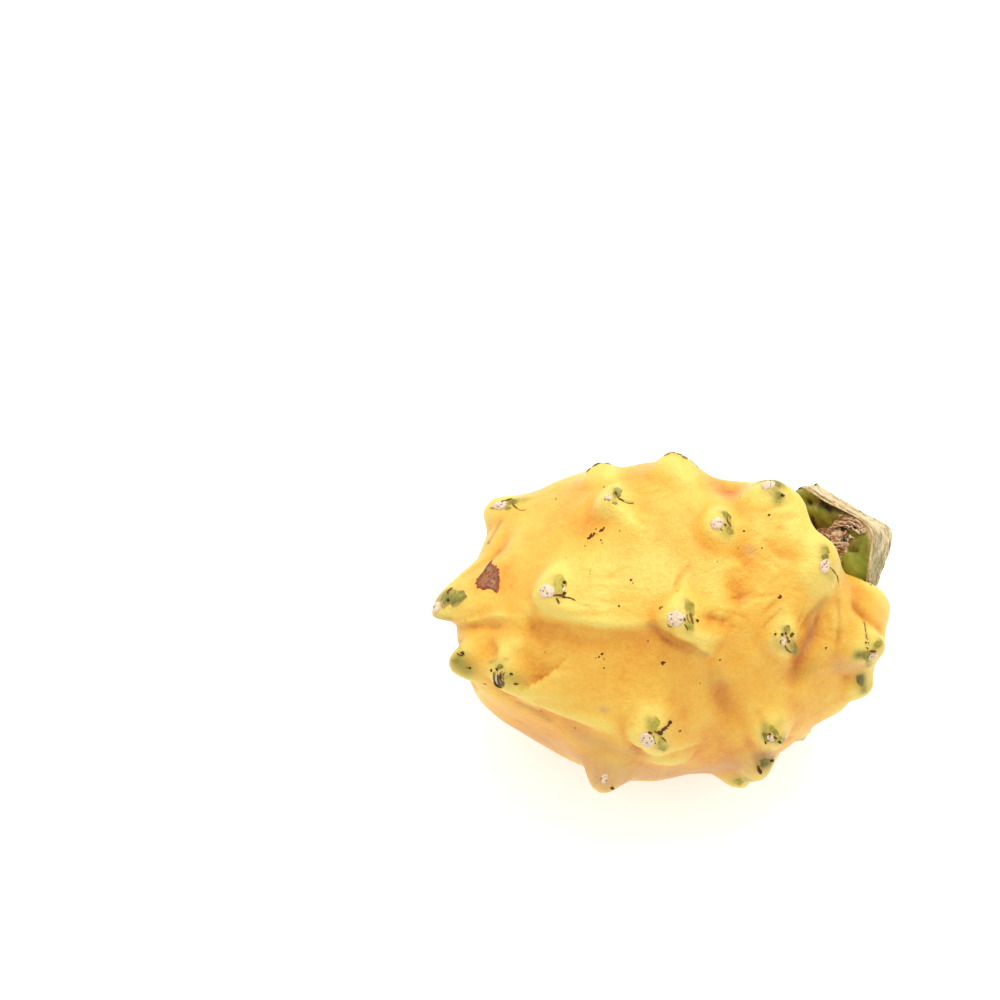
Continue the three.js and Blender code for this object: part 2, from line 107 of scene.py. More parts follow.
# along, round, height of the point, height of its mound, lean to the blossom end, size
TUBERCLES = {
    "nub": (-46, -20, 9.6, 1.6, 1.6, 1.55),
    "row_a1": (-29, 12, 2.4, 2.8, 0.6, 1.0),
    "row_a2": (-4, 30, 2.6, 3.0, 0.5, 1.0),
    "row_a3": (19, 44, 1.8, 1.4, 0.3, 0.9),
    "row_a4": (38, 60, 3.2, 4.0, 0.1, 1.2),
    "row_b1": (-32, -62, 3.6, 4.8, 0.9, 1.2),
    "row_b2": (-12, -16, 2.2, 2.6, 0.5, 0.95),
    "row_b3": (9, 4, 2.2, 2.6, 0.5, 0.95),
    "row_b4": (29, 22, 1.8, 4.8, 0.1, 1.1),
    "row_c2": (-11, -37, 2.6, 2.4, 0.5, 1.1),
    "row_c3": (5, -26, 3.2, 3.4, 0.3, 1.25),
    "row_c4": (22, -7, 2.2, 4.3, 0.2, 1.2),
    "row_d1": (-41, 43, 2.4, 2.4, 0.7, 0.9),
    "row_d2": (-13, 69, 3.0, 3.2, 0.5, 1.05),
    "row_d3": (15, 79, 2.6, 3.0, 0.4, 1.0),
    "row_d4": (38, 78, 2.8, 1.2, 0.1, 1.0),
    "row_e1": (-47, 35, 5.0, 2.4, 1.4, 0.9),
    "row_e2": (-22, 93, 4.2, 4.4, 0.5, 1.1),
    "row_e3": (12, 95, 3.4, 3.0, 0.3, 1.1),
    "row_f3": (9, 109, 2.6, 2.6, 0.3, 1.0),
    "row_g2": (-6, -82, 1.8, 1.6, 0.4, 1.0),
    "row_g3": (17, -86, 2.0, 1.8, 0.3, 1.0),
    "row_h2": (-5, 139, 1.8, 1.4, 0.4, 1.0),
    "row_h3": (30, 132, 1.6, 1.0, 0.3, 1.0),
    "foot_blossom": (-22, 178, 5.2, 3.2, 0.3, 1.1),
    "foot_front": (16, 157, 5.0, 3.2, 0.2, 1.1),
    "foot_back": (18, 203, 5.6, 3.2, 0.2, 1.1),
    "underside": (-1, 181, 1.2, 0.8, 0.3, 0.9),
}
SPIRAL = dict(turn=137.508, start=-41, end=42, tries=600, spacing=21, round=(150, 268))
SPIRAL_SHAPE = (3.0, 2.8, 0.45, 1.0)

# height, width towards the front, width towards the top, path from the blossom end to the stem
BROAD_LINES = (
    (2.2, 2.6, 8, ("nub", (-41, 11), (-32, 19), (-26, 24), (-20, 28), (-12, 30), (-6, 33))),
    (2.0, 2.2, 7, ((-6, 34), (-2, 38), (0, 41), (3, 45))),
    (1.0, 2, 3, ((-42, 32), (-40, 29), (-35, 27))),
    (2.6, 3, 9, ("row_d1", (-40, 57), (-31, 65), (-21, 69), (-17, 77))),
    (1.8, 2.4, 7, ((-16, 80), (-12, 82), (-8, 86), (-3, 90))),
    (1.2, 3, 4, ((-16, -17), (-13, -12), (-10, -6), (-4, 0))),
    (-1.6, 4, 3, ((-47, 39), (-44, 50), (-40, 60), (-34, 68), (-26, 76))),
    (-1.6, 3, 4, ((20, 66), (22, 61), (27, 48), (30, 37), (35, 33))),
    (-1.2, 1.5, 1.5, ((37, 37), (40, 49), (42, 57))),
    (-1.0, 3.5, 3.5, ((4, 55), (4, 61), (6, 71), (8, 78))),
    (-0.6, 2, 3, ((18, 10), (22, 16), (28, 20))),
    (-0.6, 2.5, 3.5, ((14, 0), (21, 1), (26, 1), (29, -4))),
    (-1.2, 3, 3, ((4, 2), (8, 7), (11, 11), (15, 17), (19, 21))),
    (-1.0, 3, 3, ((10, 17), (11, 25), (12, 31))),
    (-1.0, 2.2, 2.2, ((0, 32), (4, 34), (9, 36))),
    (-1.2, 3, 3, ((-41, -37), (-38, -33), (-32, -46))),
)
# The same for the folds that only the fine rind has.
FINE_LINES = (
    (0.7, 0.9, 2.5, ((-41, 9), (-34, 16), (-32, 20), (-26, 24), (-20, 28.5), (-12, 30), (-6, 34))),
    (-0.5, 1.2, 1.0, ((-40, 14), (-32, 23), (-24, 28), (-16, 32), (-8, 33))),
    (0.35, 0.8, 2.2, ((-6, 34), (-2, 38), (0, 41), (3, 46))),
    (-0.6, 1.3, 1.0, ((-10, 34), (-4, 39), (-1, 43), (3, 49))),
    (0.5, 0.8, 0.9, ((-50, -6), (-46, 7), (-42, 12), (-36, 20))),
    (-0.5, 1.0, 1.0, ((-49, 6), (-45, 15), (-40, 20))),
    (0.5, 0.7, 1.6, ((-44, 50), (-40, 57), (-36, 61), (-31, 65), (-21, 68), (-17, 77))),
    (-0.5, 1.2, 0.9, ((-44, 54), (-39, 61), (-31, 69), (-22, 73))),
    (0.5, 0.7, 1.8, ((-16, 80), (-12, 82), (-8, 86), (-4, 90))),
    (0.5, 0.7, 1.6, ((12, 67), (14, 75), (15, 84))),
    (-0.25, 0.8, 1.0, ((35, 33), (30, 37), (27, 48), (22, 61))),
    (-0.25, 0.6, 0.7, ((34, 36), (33, 48), (32, 59))),
    (-0.3, 0.6, 0.7, ((28, 36), (24, 43), (22, 53))),
    (-0.25, 0.6, 0.7, ((37, 37), (40, 49), (42, 57))),
    (-0.4, 0.7, 0.8, ((18, 10), (20, 13), (22, 16), (25, 18))),
    (-0.4, 0.8, 0.8, ((16, -1), (21, 1), (26, 0), (28, -5))),
    (-0.45, 0.7, 0.8, ((2, 14), (-2, 17), (-4, 21), (-8, 24))),
    (-0.35, 0.6, 0.7, ((20, 30), (17, 33), (15, 35))),
    (-0.4, 0.8, 0.8, ((0, 31), (4, 33), (8, 35))),
    (0.4, 0.8, 1.4, ((-16, -17), (-13, -12), (-10, -6), (-4, 0))),
    (-0.4, 1.0, 1.0, ((6, -24), (8, -22), (9, -20))),
)
LINE_STEPS = 8
LINE_FADE = 3.0  # a line rises from nothing over a third of its length, at both ends
LINE_REACH = 3.0  # a line is felt as far as this many of its widths

# The lip of a tubercle, on its blossom side and front, as (stemward, topward), and how sharp it
# is on each, where it isn't as on most.
LIP_PATH = ((-3.6, 4.6), (-4.8, 0.6), (-2.6, -3.2), (3.0, -5.2), (8.0, -6.6), (12.0, -7.4))
LIP = dict(height=0.55, front=0.9, back=3.6)
LIP_SHADOW = dict(height=-0.4, front=1.6, back=1.0, out=1.7)
LIP_USUAL = 0.5
LIP_SHARPNESS = dict(nub=0.0, row_a1=0.9, row_a2=0.9, row_a3=0.3, row_b2=0.25, row_b3=0.1,
                     row_b4=0.2, row_c2=0.1, row_c3=0.1, row_c4=0.2, row_d2=1.1, row_d3=0.6,
                     row_a4=0.3, row_b1=0.3, row_e1=0.3, row_f3=0.2)

# Fans of wrinkles: place, first and last angle, lines, nearest, furthest, depth. Angles are in
# degrees from stemward to topward.
FANS = (
    ((9, 4), -38, 30, 9, 7, 24, 0.3),
    ((-4, 30), -25, 12, 5, 8, 20, 0.24),
    ((-12, -16), -50, 20, 6, 6, 17, 0.22),
    ((29, 22), -150, -70, 8, 8, 19, 0.26),
    ((22, -7), -80, 0, 6, 7, 15, 0.2),
    ((-29, 12), -32, 5, 6, 8, 22, 0.26),
    ((-41, 43), -10, 50, 5, 6, 16, 0.22),
    ((38, 60), 110, 200, 8, 6, 16, 0.22),
    ((19, 44), -20, 60, 4, 5, 13, 0.18),
)
FAN = dict(width=0.5, seed=11, astray=0.3, bend=16, start=(0.8, 1.3), end=(0.45, 1.0), steps=9,
           widths=(0.8, 1.5), depths=(0.5, 1.0))
LUMPS = ((9.0, 0.32, 3), (4.0, 0.12, 4), (1.3, 0.035, 5))  # size, height, seed

# ------------------------------------------------------------ what the photograph shows, by pixel

# Pixels are (column, row). Other lengths are millimetres.
IMAGE = 1000
AIM = (663, 619)  # where the middle of the fruit's axis shows
STEM_MIDDLE = (858, 565)
LOOKS_ASIDE = 120  # tries on the way from a pixel that misses to the middle of what it is on
CAMERA = dict(elevation=55, azimuth=-12, distance=0.45, lens=64.8, sensor=36)

# Soft patches of colour: first and last pixel, radius, strength.
STAINS = dict(
    green=(
        ((858, 655), (867, 656), 1.3, 0.9), ((868, 659), (869, 665), 0.8, 0.7),
        ((876, 646), (881, 642), 1.0, 0.8), ((864, 622), (868, 640), 0.35, 0.9),
        ((760, 481), (768, 478), 1.3, 0.75), ((770, 478), (781, 485), 1.6, 0.8),
        ((775, 490), (778, 499), 1.4, 0.75), ((763, 491), (773, 497), 0.9, 0.4),
        ((824, 548), (824, 556), 1.2, 0.7), ((826, 572), (833, 580), 0.8, 0.35),
        ((784, 628), (786, 632), 1.0, 0.6), ((792, 644), (796, 653), 1.1, 0.85),
        ((496, 664), (500, 667), 1.2, 0.4), ((505, 677), (522, 682), 1.6, 0.4),
        ((766, 726), (766, 738), 1.2, 0.6), ((776, 740), (785, 738), 1.2, 0.6),
        ((650, 720), (651, 729), 1.2, 0.55), ((660, 746), (666, 748), 1.0, 0.7),
        ((556, 578), (558, 595), 1.2, 0.5), ((686, 600), (690, 630), 1.2, 0.35),
        ((723, 512), (729, 532), 1.3, 0.5), ((616, 488), (613, 500), 1.1, 0.5),
        ((507, 503), (524, 499), 1.5, 0.6), ((438, 596), (446, 600), 2.0, 0.6),
        ((452, 594), (457, 602), 1.8, 0.55), ((433, 617), (450, 619), 1.0, 0.4),
        ((458, 662), (466, 668), 2.4, 0.8), ((861, 676), (864, 690), 1.3, 0.9),
        ((762, 765), (770, 762), 1.6, 0.95), ((735, 781), (748, 779), 1.8, 0.45),
        ((666, 453), (676, 452), 1.2, 0.35), ((456, 640), (459, 648), 0.8, 0.5),
    ),
    # Brown: the rind's brown marks, and painted shadow under the lips, in creases and in hollows.
    brown=(
        ((650, 625), (668, 634), 1.0, 0.4), ((668, 634), (690, 645), 1.3, 0.5),
        ((690, 645), (706, 655), 1.0, 0.4), ((782, 646), (792, 653), 0.7, 0.5),
        ((776, 640), (780, 648), 1.4, 0.25), ((488, 542), (489, 543), 0.5, 0.9),
        ((797, 672), (812, 668), 2.4, 0.3), ((712, 675), (722, 700), 2.6, 0.22),
        ((520, 703), (548, 720), 1.2, 0.35), ((824, 600), (812, 612), 1.2, 0.35),
        ((811, 612), (808, 636), 0.7, 0.3), ((838, 600), (838, 640), 0.5, 0.3),
        ((852, 601), (864, 620), 0.5, 0.3), ((500, 523), (490, 540), 0.9, 0.45),
        ((490, 662), (507, 659), 0.5, 0.5), ((566, 597), (590, 607), 0.25, 0.4),
        ((619, 499), (633, 503), 0.3, 0.6), ((690, 563), (675, 584), 0.3, 0.35),
        ((782, 608), (764, 625), 0.35, 0.3), ((475, 640), (500, 625), 0.5, 0.15),
        ((757, 757), (770, 753), 1.4, 0.3), ((774, 730), (781, 722), 1.2, 0.25),
    ),
    # Pale: painted highlights on the plateaus and ridges that face the light, partly paler rind.
    pale=(
        ((580, 570), (608, 590), 7.0, 0.9), ((640, 570), (655, 560), 6.0, 0.8),
        ((700, 590), (716, 596), 5.0, 0.5), ((560, 612), (600, 624), 1.6, 0.9),
        ((600, 624), (640, 628), 1.6, 0.5), ((800, 534), (818, 540), 3.0, 0.4),
        ((770, 560), (800, 575), 5.0, 0.5), ((750, 600), (780, 585), 4.0, 0.4),
        ((630, 500), (670, 515), 6.0, 0.4),
        ((748, 640), (760, 655), 3.0, 0.4), ((507, 690), (530, 710), 1.2, 0.6),
        ((640, 705), (650, 716), 1.6, 0.6), ((752, 708), (757, 728), 1.5, 0.8),
        ((655, 756), (695, 766), 1.0, 0.6), ((848, 640), (858, 648), 2.0, 0.6),
        ((520, 620), (532, 606), 1.6, 0.4), ((470, 540), (520, 560), 4.0, 0.3),
    ),
    # Orange: painted shade in hollows and the stem's shadow on the shoulder, partly deeper orange
    # rind.
    orange_and_shade=(
        ((705, 530), (716, 546), 2.2, 0.8), ((716, 546), (740, 556), 1.4, 0.4),
        ((730, 590), (742, 612), 3.0, 0.5), ((655, 640), (690, 662), 5.0, 0.35),
        ((690, 625), (740, 628), 1.0, 0.5), ((862, 600), (880, 625), 4.0, 0.9),
        ((470, 570), (478, 590), 2.0, 0.5), ((500, 590), (503, 570), 1.6, 0.5),
        ((545, 630), (580, 640), 3.0, 0.3), ((803, 500), (806, 522), 0.9, 0.6),
        ((500, 515), (540, 505), 3.0, 0.4), ((830, 600), (850, 660), 3.0, 0.35),
        ((640, 460), (665, 462), 2.0, 0.5), ((560, 555), (540, 570), 3.0, 0.3),
    ),
    # Pink: painted bounce light from the floor on the underside, and a few pinkish tan marks.
    pink_and_bounce_light=(
        ((520, 740), (600, 775), 5.0, 0.7), ((600, 775), (700, 775), 5.0, 0.9),
        ((700, 775), (770, 755), 3.5, 0.9), ((580, 735), (640, 755), 3.0, 0.5),
        ((838, 665), (858, 668), 2.6, 0.6), ((749, 549), (751, 551), 1.2, 0.5),
        ((603, 709), (604, 710), 1.0, 0.7), ((820, 605), (806, 650), 1.0, 0.35),
        ((800, 745), (815, 730), 2.0, 0.5), ((480, 700), (520, 735), 2.4, 0.5),
    ),
)

# What stands in the tips of the tubercles. A pad is its middle's pixel and its two radii. A scale
# is the pixels of its upper tip, its bend and its lower tip, its half width, and how dark it is.
# A bit is its first and last pixel, its radius and how pale it is.
LOOKS = {
    "nub": dict(
        pad=((436, 608), 1.5, 1.7),
        scales=(((440, 590), (447, 597), (444, 612), 1.3, 0.55),
            ((452, 591), (457, 599), (452, 610), 1.2, 0.5)),
        bits=(((444, 599), (446, 607), 0.16, 0.7), ((448, 599), (449, 602), 0.4, 0.0),
            ((452, 588), (449, 594), 0.3, 0.1))),
    "row_a1": dict(
        pad=((546, 591), 1.75, 1.75),
        scales=(((557, 573), (560, 585), (557, 598), 1.05, 0.15),),
        bits=(((563, 584), (566, 582), 0.42, 0.0), ((561, 584), (563, 591), 0.2, 0.2),
            ((565, 587), (563, 592), 0.35, 0.9), ((563, 595), (566, 593), 0.36, 0.0),
            ((553, 596), (566, 598), 0.3, 0.15), ((562, 598), (575, 601), 0.2, 0.15),
            ((556, 598), (559, 604), 0.26, 0.1))),
    "row_a2": dict(
        pad=((675, 618.5), 1.95, 1.95),
        scales=(((684, 597), (690, 610), (686, 616), 1.2, 0.25),
            ((676, 602), (677, 606), (677, 611), 0.5, 0.6),
            ((686, 618), (690, 626), (695, 632), 0.8, 0.1)),
        bits=(((690, 613), (693, 624), 0.4, 0.35), ((687, 614), (690, 623), 0.2, 0.5),
            ((696, 620), (698, 621), 0.4, 0.0), ((684, 615), (685, 617), 0.3, 1.0),
            ((684, 618), (685, 621), 0.24, 0.1), ((684, 624), (688, 631), 0.14, 0.1),
            ((667, 624), (672, 627), 0.16, 0.3))),
    "row_b3": dict(
        pad=((717, 523), 1.6, 1.35),
        scales=(((721, 510), (727, 516), (728, 526), 0.95, 0.45),
            ((724, 526), (730, 531), (734, 536), 0.8, 0.3)),
        bits=(((728, 514), (731, 527), 0.2, 0.25), ((724, 524), (726, 526), 0.3, 0.1),
            ((712, 528), (723, 531), 0.16, 0.2), ((730, 522), (731, 527), 0.24, 0.4))),
    "row_b2": dict(
        pad=((608, 497), 0.95, 0.9),
        scales=(((618, 485), (617, 492), (612, 500), 0.9, 0.35),
            ((610, 500), (615, 503), (620, 503), 0.6, 0.5)),
        bits=(((616, 492), (617, 496), 0.32, 0.1), ((617, 496), (619, 500), 0.18, 0.1),
            ((619, 499), (624, 502), 0.26, 0.1), ((624, 502), (634, 503), 0.14, 0.3),
            ((604, 500), (610, 501), 0.14, 0.3))),
    "row_b1": dict(
        pad=((499, 505.5), 1.3, 1.5),
        scales=(((505, 502), (512, 502), (520, 499), 1.0, 0.4),
            ((504, 507), (508, 509), (513, 508), 0.7, 0.3)),
        bits=(((497, 503), (505, 501), 0.3, 0.2), ((505, 501), (512, 499), 0.24, 0.1),
            ((512, 504), (517, 510), 0.2, 0.15), ((517, 510), (526, 512), 0.12, 0.3),
            ((490, 508), (496, 509), 0.2, 0.5))),
    # This tip's scale is made dark to paint the shade that lies on the tip.
    "row_c2": dict(
        pad=None,
        scales=(((590, 467), (597, 464), (604, 463), 0.9, 0.9),),
        bits=(((585, 470), (590, 467), 0.24, 0.3), ((604, 463), (610, 462), 0.2, 0.3))),
    "row_c3": dict(
        pad=None,
        scales=(((664, 453), (671, 451), (678, 451), 0.9, 0.35),
            ((680, 452), (685, 453), (690, 456), 0.7, 0.5)),
        bits=(((664, 452), (670, 451), 0.2, 0.5), ((671, 451), (676, 450), 0.26, 0.7),
            ((677, 451), (682, 452), 0.22, 0.4), ((683, 453), (689, 455), 0.2, 0.5),
            ((690, 457), (695, 463), 0.16, 0.5), ((695, 463), (699, 467), 0.14, 0.4))),
    "row_c4": dict(
        pad=((768.5, 485), 1.45, 1.35),
        scales=(((768, 478), (777, 483), (779, 492), 0.8, 0.45),
            ((775, 488), (779, 495), (780, 502), 0.7, 0.4)),
        bits=(((781, 494), (783, 497), 0.42, 0.0), ((784, 495), (785, 496), 0.2, 0.2),
            ((770, 480), (772, 482), 0.16, 0.1))),
    "row_b4": dict(
        pad=((825, 566), 1.25, 1.4),
        scales=(((823, 545), (826, 550), (826, 557), 0.8, 0.25),
            ((822, 553), (825, 557), (828, 562), 0.8, 0.7)),
        bits=(((826, 560), (831, 568), 0.2, 0.15), ((831, 568), (836, 574), 0.2, 0.15),
            ((836, 574), (839, 583), 0.16, 0.2))),
    "row_a3": dict(
        pad=((783.5, 640.5), 0.6, 1.35),
        scales=(((784, 625), (787, 629), (787, 634), 0.9, 0.45),
            ((790, 641), (795, 648), (797, 655), 0.9, 0.5)),
        bits=(((782, 633), (783, 636), 0.42, 0.1), ((785, 632), (786, 635), 0.3, 0.1),
            ((790, 637), (793, 633), 0.45, 0.15), ((786, 636), (787, 643), 0.22, 0.3),
            ((788, 637), (790, 643), 0.22, 0.25), ((787, 642), (790, 640), 0.2, 0.1),
            ((785, 645), (791, 652), 0.26, 0.2), ((781, 640), (781, 644), 0.12, 0.2),
            ((775, 633), (776, 635), 0.34, 0.0))),
    "row_a4": dict(
        pad=((873, 656), 0.95, 1.15),
        scales=(((864, 650), (867, 656), (868, 665), 0.8, 0.5),
            ((872, 646), (878, 645), (881, 648), 0.8, 0.4)),
        bits=(((869, 651), (876, 651), 0.36, 0.15), ((865, 642), (867, 643), 0.3, 0.1),
            ((868, 643), (869, 643), 0.26, 0.1), ((866, 647), (868, 650), 0.16, 0.1),
            ((864, 622), (866, 633), 0.12, 0.1), ((866, 633), (868, 640), 0.12, 0.1))),
    "row_d4": dict(
        pad=None,
        scales=(((862, 672), (860, 680), (864, 690), 0.8, 0.75),),
        bits=()),
    "row_d1": dict(
        pad=None,
        scales=(((497, 664), (500, 667), (502, 671), 0.6, 0.5),
            ((493, 670), (498, 682), (503, 688), 1.1, 0.9)),
        bits=(((497, 673), (498, 684), 0.3, 0.8), ((500, 679), (502, 684), 0.2, 0.65),
            ((502, 671), (503, 677), 0.22, 0.6), ((494, 672), (497, 679), 0.24, 0.4),
            ((492, 669), (492, 672), 0.3, 0.0), ((496, 668), (498, 671), 0.34, 0.0),
            ((500, 672), (501, 682), 0.22, 0.05), ((494, 680), (502, 688), 0.3, 0.1),
            ((505, 672), (504, 680), 0.16, 0.3), ((510, 673), (512, 675), 0.3, 0.1))),
    "row_d2": dict(
        pad=((647, 741), 1.8, 1.75),
        scales=(((651, 716), (655, 725), (650, 733), 1.0, 0.1),
            ((657, 736), (661, 742), (659, 748), 0.8, 0.1),
            ((658, 746), (662, 749), (667, 751), 0.7, 0.2)),
        bits=(((648, 732), (652, 734), 0.34, 0.1), ((654, 731), (658, 733), 0.26, 0.3),
            ((658, 731), (662, 732), 0.6, 0.05), ((661, 731), (665, 727), 0.42, 0.05),
            ((664, 729), (666, 727), 0.5, 0.1), ((666, 727), (669, 723), 0.28, 0.1),
            ((668, 723), (671, 721), 0.52, 0.05), ((661, 737), (666, 742), 0.24, 0.2),
            ((654, 735), (656, 744), 0.18, 0.3))),
    "row_d3": dict(
        pad=((770.5, 738.5), 0.8, 0.8),
        scales=(((767, 724), (774, 731), (781, 738), 0.7, 0.3),
            ((776, 739), (781, 741), (786, 738), 0.8, 0.35),
            ((766, 730), (766, 737), (768, 744), 0.8, 0.6)),
        bits=(((778, 741), (780, 742), 0.45, 0.0), ((774, 736), (777, 738), 0.34, 0.1),
            ((769, 733), (771, 735), 0.3, 0.05), ((765, 741), (766, 744), 0.3, 0.2),
            ((769, 740), (772, 742), 0.4, 0.7))),
    "row_e3": dict(
        pad=None,
        scales=(((758, 764), (765, 763), (772, 760), 0.9, 0.7),),
        bits=(((758, 768), (761, 773), 0.6, 0.05), ((757, 766), (760, 768), 0.3, 0.2),
            ((770, 760), (773, 759), 0.4, 0.1))),
    "row_e2": dict(
        pad=((604, 779), 0.8, 1.0),
        scales=(),
        bits=(((601, 777), (602, 782), 0.2, 0.25), ((606, 776), (606, 781), 0.22, 0.2),
            ((602, 783), (605, 783), 0.16, 0.3), ((610, 788), (613, 788), 0.5, 0.15))),
    "row_e1": dict(
        pad=None,
        scales=(),
        bits=(((457, 653), (462, 656), 0.2, 0.0), ((460, 652), (463, 656), 0.24, 0.1),
            ((469, 667), (470, 669), 0.28, 0.1), ((462, 651), (464, 655), 0.16, 0.0))),
    "row_f3": dict(
        pad=None,
        scales=(((732, 780), (740, 782), (748, 779), 0.9, 0.2),),
        bits=()),
}

# Dark specks elsewhere on the rind: pixel, radius.
SPECKS = (
    (591, 536, 0.62), (589, 538, 0.5), (594, 534, 0.45), (602, 530, 0.55), (600, 531, 0.3),
    (604, 528, 0.3), (596, 529, 0.24), (601, 540, 0.26), (602, 543, 0.18), (585, 546, 0.2),
    (597, 534, 0.16), (663, 663, 0.5), (780, 597, 0.48), (631, 580, 0.34), (633, 583, 0.2),
    (619, 606, 0.28), (660, 608, 0.3), (662, 607, 0.2), (556, 499, 0.24), (604, 487, 0.25),
    (720, 660, 0.25), (826, 648, 0.28), (648, 641, 0.22), (744, 531, 0.25), (769, 515, 0.28),
    (680, 731, 0.28), (469, 668, 0.25), (511, 674, 0.26), (516, 684, 0.3), (485, 684, 0.22),
    (599, 657, 0.26), (602, 654, 0.34), (604, 659, 0.18), (604, 668, 0.22), (596, 658, 0.16),
    (575, 728, 0.2), (700, 683, 0.16), (545, 652, 0.14), (590, 574, 0.15), (762, 548, 0.2),
    (541, 711, 0.18), (735, 598, 0.14), (566, 558, 0.15), (881, 578, 0.34), (882, 583, 0.26),
    (577, 764, 0.2), (520, 735, 0.16),
)
SPECK = dict(height=0.16, slope=1.3, wall=3, sunk=0.25, net=7, lobes=(2, 3, 4), lobe=0.18,
             full_from=0.3, paleness=(0, 0.15))

# The healed scrape beside the blossom end: its middle, and its outline round it.
SCRAPE_AT = (488, 577)
SCRAPE_OUTLINE = ((494, 559), (498, 567), (500, 578), (500, 588), (496, 594), (490, 590),
                  (481, 591), (475, 585), (479, 576), (486, 569), (490, 562))
SCRAPE = dict(rim=0.32, rim_at=0.78, rim_width=0.16, floor=-0.15, floor_width=0.6, crust=0.24,
              crust_ends=(0.8, 1.0), least=0.04, edge=(0.88, 1.0), edge_drop=0.3, sunk=0.6, net=41,
              steps=6)
SCRAPE_WAVES = ((9, 0.05, 0), (17, 0.04, 1))  # waves, share of the radius, phase

# Hollows and swellings of the stem: depth, patches as for the stains.
STEM_HOLLOWS = (
    (1.3, (((822, 503), (846, 509), 1.2, 1.0),)),
    (0.9, (((811, 520), (814, 528), 1.6, 1.0), ((808, 501), (810, 502), 0.8, 0.8))),
    (0.5, (((849, 549), (858, 550), 0.6, 1.0), ((820, 500), (817, 507), 0.5, 1.0))),
    (-0.5, (((849, 556), (856, 570), 3.0, 1.0), ((802, 491), (813, 492), 1.5, 0.6))),
)
STEM_STAINS = dict(
    # Dark: painted shade in the crevice by the fruit and in the hollows and holes, and dark tissue.
    dark=(
        ((821, 502), (830, 509), 0.9, 1.0), ((830, 507), (840, 508), 0.7, 0.7),
        ((808, 501), (810, 502), 0.6, 1.0), ((811, 519), (814, 528), 0.9, 0.9),
        ((850, 550), (858, 550), 0.3, 0.8), ((842, 566), (845, 590), 1.0, 1.0),
        ((842, 529), (844, 531), 0.6, 1.0), ((852, 525), (857, 526), 0.4, 0.9),
        ((819, 518), (824, 521), 0.9, 0.35), ((858, 588), (862, 590), 0.8, 0.4),
    ),
    brown=(
        ((840, 508), (852, 511), 1.0, 0.8), ((848, 536), (857, 547), 1.2, 0.45),
        ((869, 545), (866, 590), 0.8, 0.5), ((811, 497), (815, 500), 0.9, 0.35),
        ((818, 524), (832, 527), 1.0, 0.4), ((832, 512), (840, 518), 1.2, 0.3),
    ),
    rough=(
        ((843, 516), (862, 521), 1.5, 1.0), ((850, 513), (864, 527), 1.2, 0.9),
        ((856, 545), (860, 538), 1.0, 0.3),
    ),
    tan=(
        ((862, 510), (868, 524), 0.6, 1.0), ((868, 524), (873, 540), 0.6, 1.0),
        ((873, 540), (875, 560), 0.55, 1.0), ((875, 560), (872, 580), 0.5, 1.0),
        ((872, 580), (868, 592), 0.5, 1.0), ((819, 489), (818, 500), 0.3, 0.8),
        ((818, 500), (815, 506), 0.3, 0.6), ((819, 530), (833, 531), 0.7, 0.7),
        ((834, 521), (852, 520), 0.6, 0.5), ((851, 537), (855, 539), 0.5, 0.7),
    ),
    bright=(
        ((811, 506), (815, 516), 1.6, 0.9), ((850, 553), (855, 566), 1.8, 1.0),
        ((800, 490), (812, 490), 1.5, 0.5), ((826, 514), (829, 524), 1.5, 0.5),
        ((856, 568), (860, 580), 1.5, 0.3),
    ),
)
# Shreds round the knot: the pixels of their path, radius, how pale they are, and how many.
CORK_STRANDS = (
    ((833, 525), (840, 521), (850, 521), (857, 524), (862, 529), 0.5, 0.2, 4),
    ((832, 529), (838, 524), (846, 524), (853, 528), 0.4, 0.0, 3),
    ((858, 531), (862, 532), (865, 531), 0.85, 0.3, 1),
    ((819, 531), (826, 530), (833, 532), 0.35, -0.1, 3),
    ((822, 534), (828, 535), (832, 538), 0.35, -0.2, 3),
    ((829, 541), (834, 538), (840, 537), 0.6, 0.25, 3),
    ((829, 546), (836, 545), (845, 545), 0.65, 0.3, 4),
    ((834, 551), (840, 550), (846, 551), 0.55, 0.15, 3),
    ((835, 555), (836, 562), (836, 568), 0.28, -0.1, 2),
    ((840, 552), (840, 560), (839, 566), 0.28, -0.2, 2),
    ((831, 551), (832, 558), 0.28, 0.0, 2),
    ((851, 536), (855, 539), 0.4, 0.3, 2),
    ((841, 529), (844, 532), 0.5, -0.9, 1),
    ((852, 525), (857, 527), 0.35, -0.9, 1),
    ((843, 538), (847, 541), 0.5, -0.9, 1),
)
# Crumbs: two corners of the patch that they lie in, their size, and how many.
CORK_CRUMBS = (
    ((828, 533), (846, 550), 0.9, 28),
    ((827, 532), (848, 552), 0.45, 110),
    ((832, 552), (842, 566), 0.35, 40),
    ((834, 520), (862, 531), 0.3, 40),
    ((842, 512), (864, 527), 0.2, 60),
)

# ------------------------------------------------------------ small pieces, in millimetres

PAD = dict(radius=1.7, height=0.65, wall=5, slope=0.3, sunk=0.6, crumbs=0.2, full_from=1.4,
           edge_wall=8, edge_drop=0.25, net=17)
PAD_LOBES = ((2, 0.07), (5, 0.05), (9, 0.04))  # lobes, share of the radius
PITS = dict(count=(2, 6), out=(0.1, 0.7), radius=0.15, depth=0.3)
SCALE = dict(start=(1.3, 4.2), bend=(3.4, 1.4), end=(3.0, -2.4), width=0.8, height=0.26, curl=0.2,
             curled=(0.2, 0.9), dark=0.35, ragged=0.16, ragged_turns=17, ends=0.04, lumps=0.09,
             edge_drop=0.1, sunk=0.5, fullest=0.85, fullness=0.8, crown=0.6)
SCALE_NET = (25, 11)
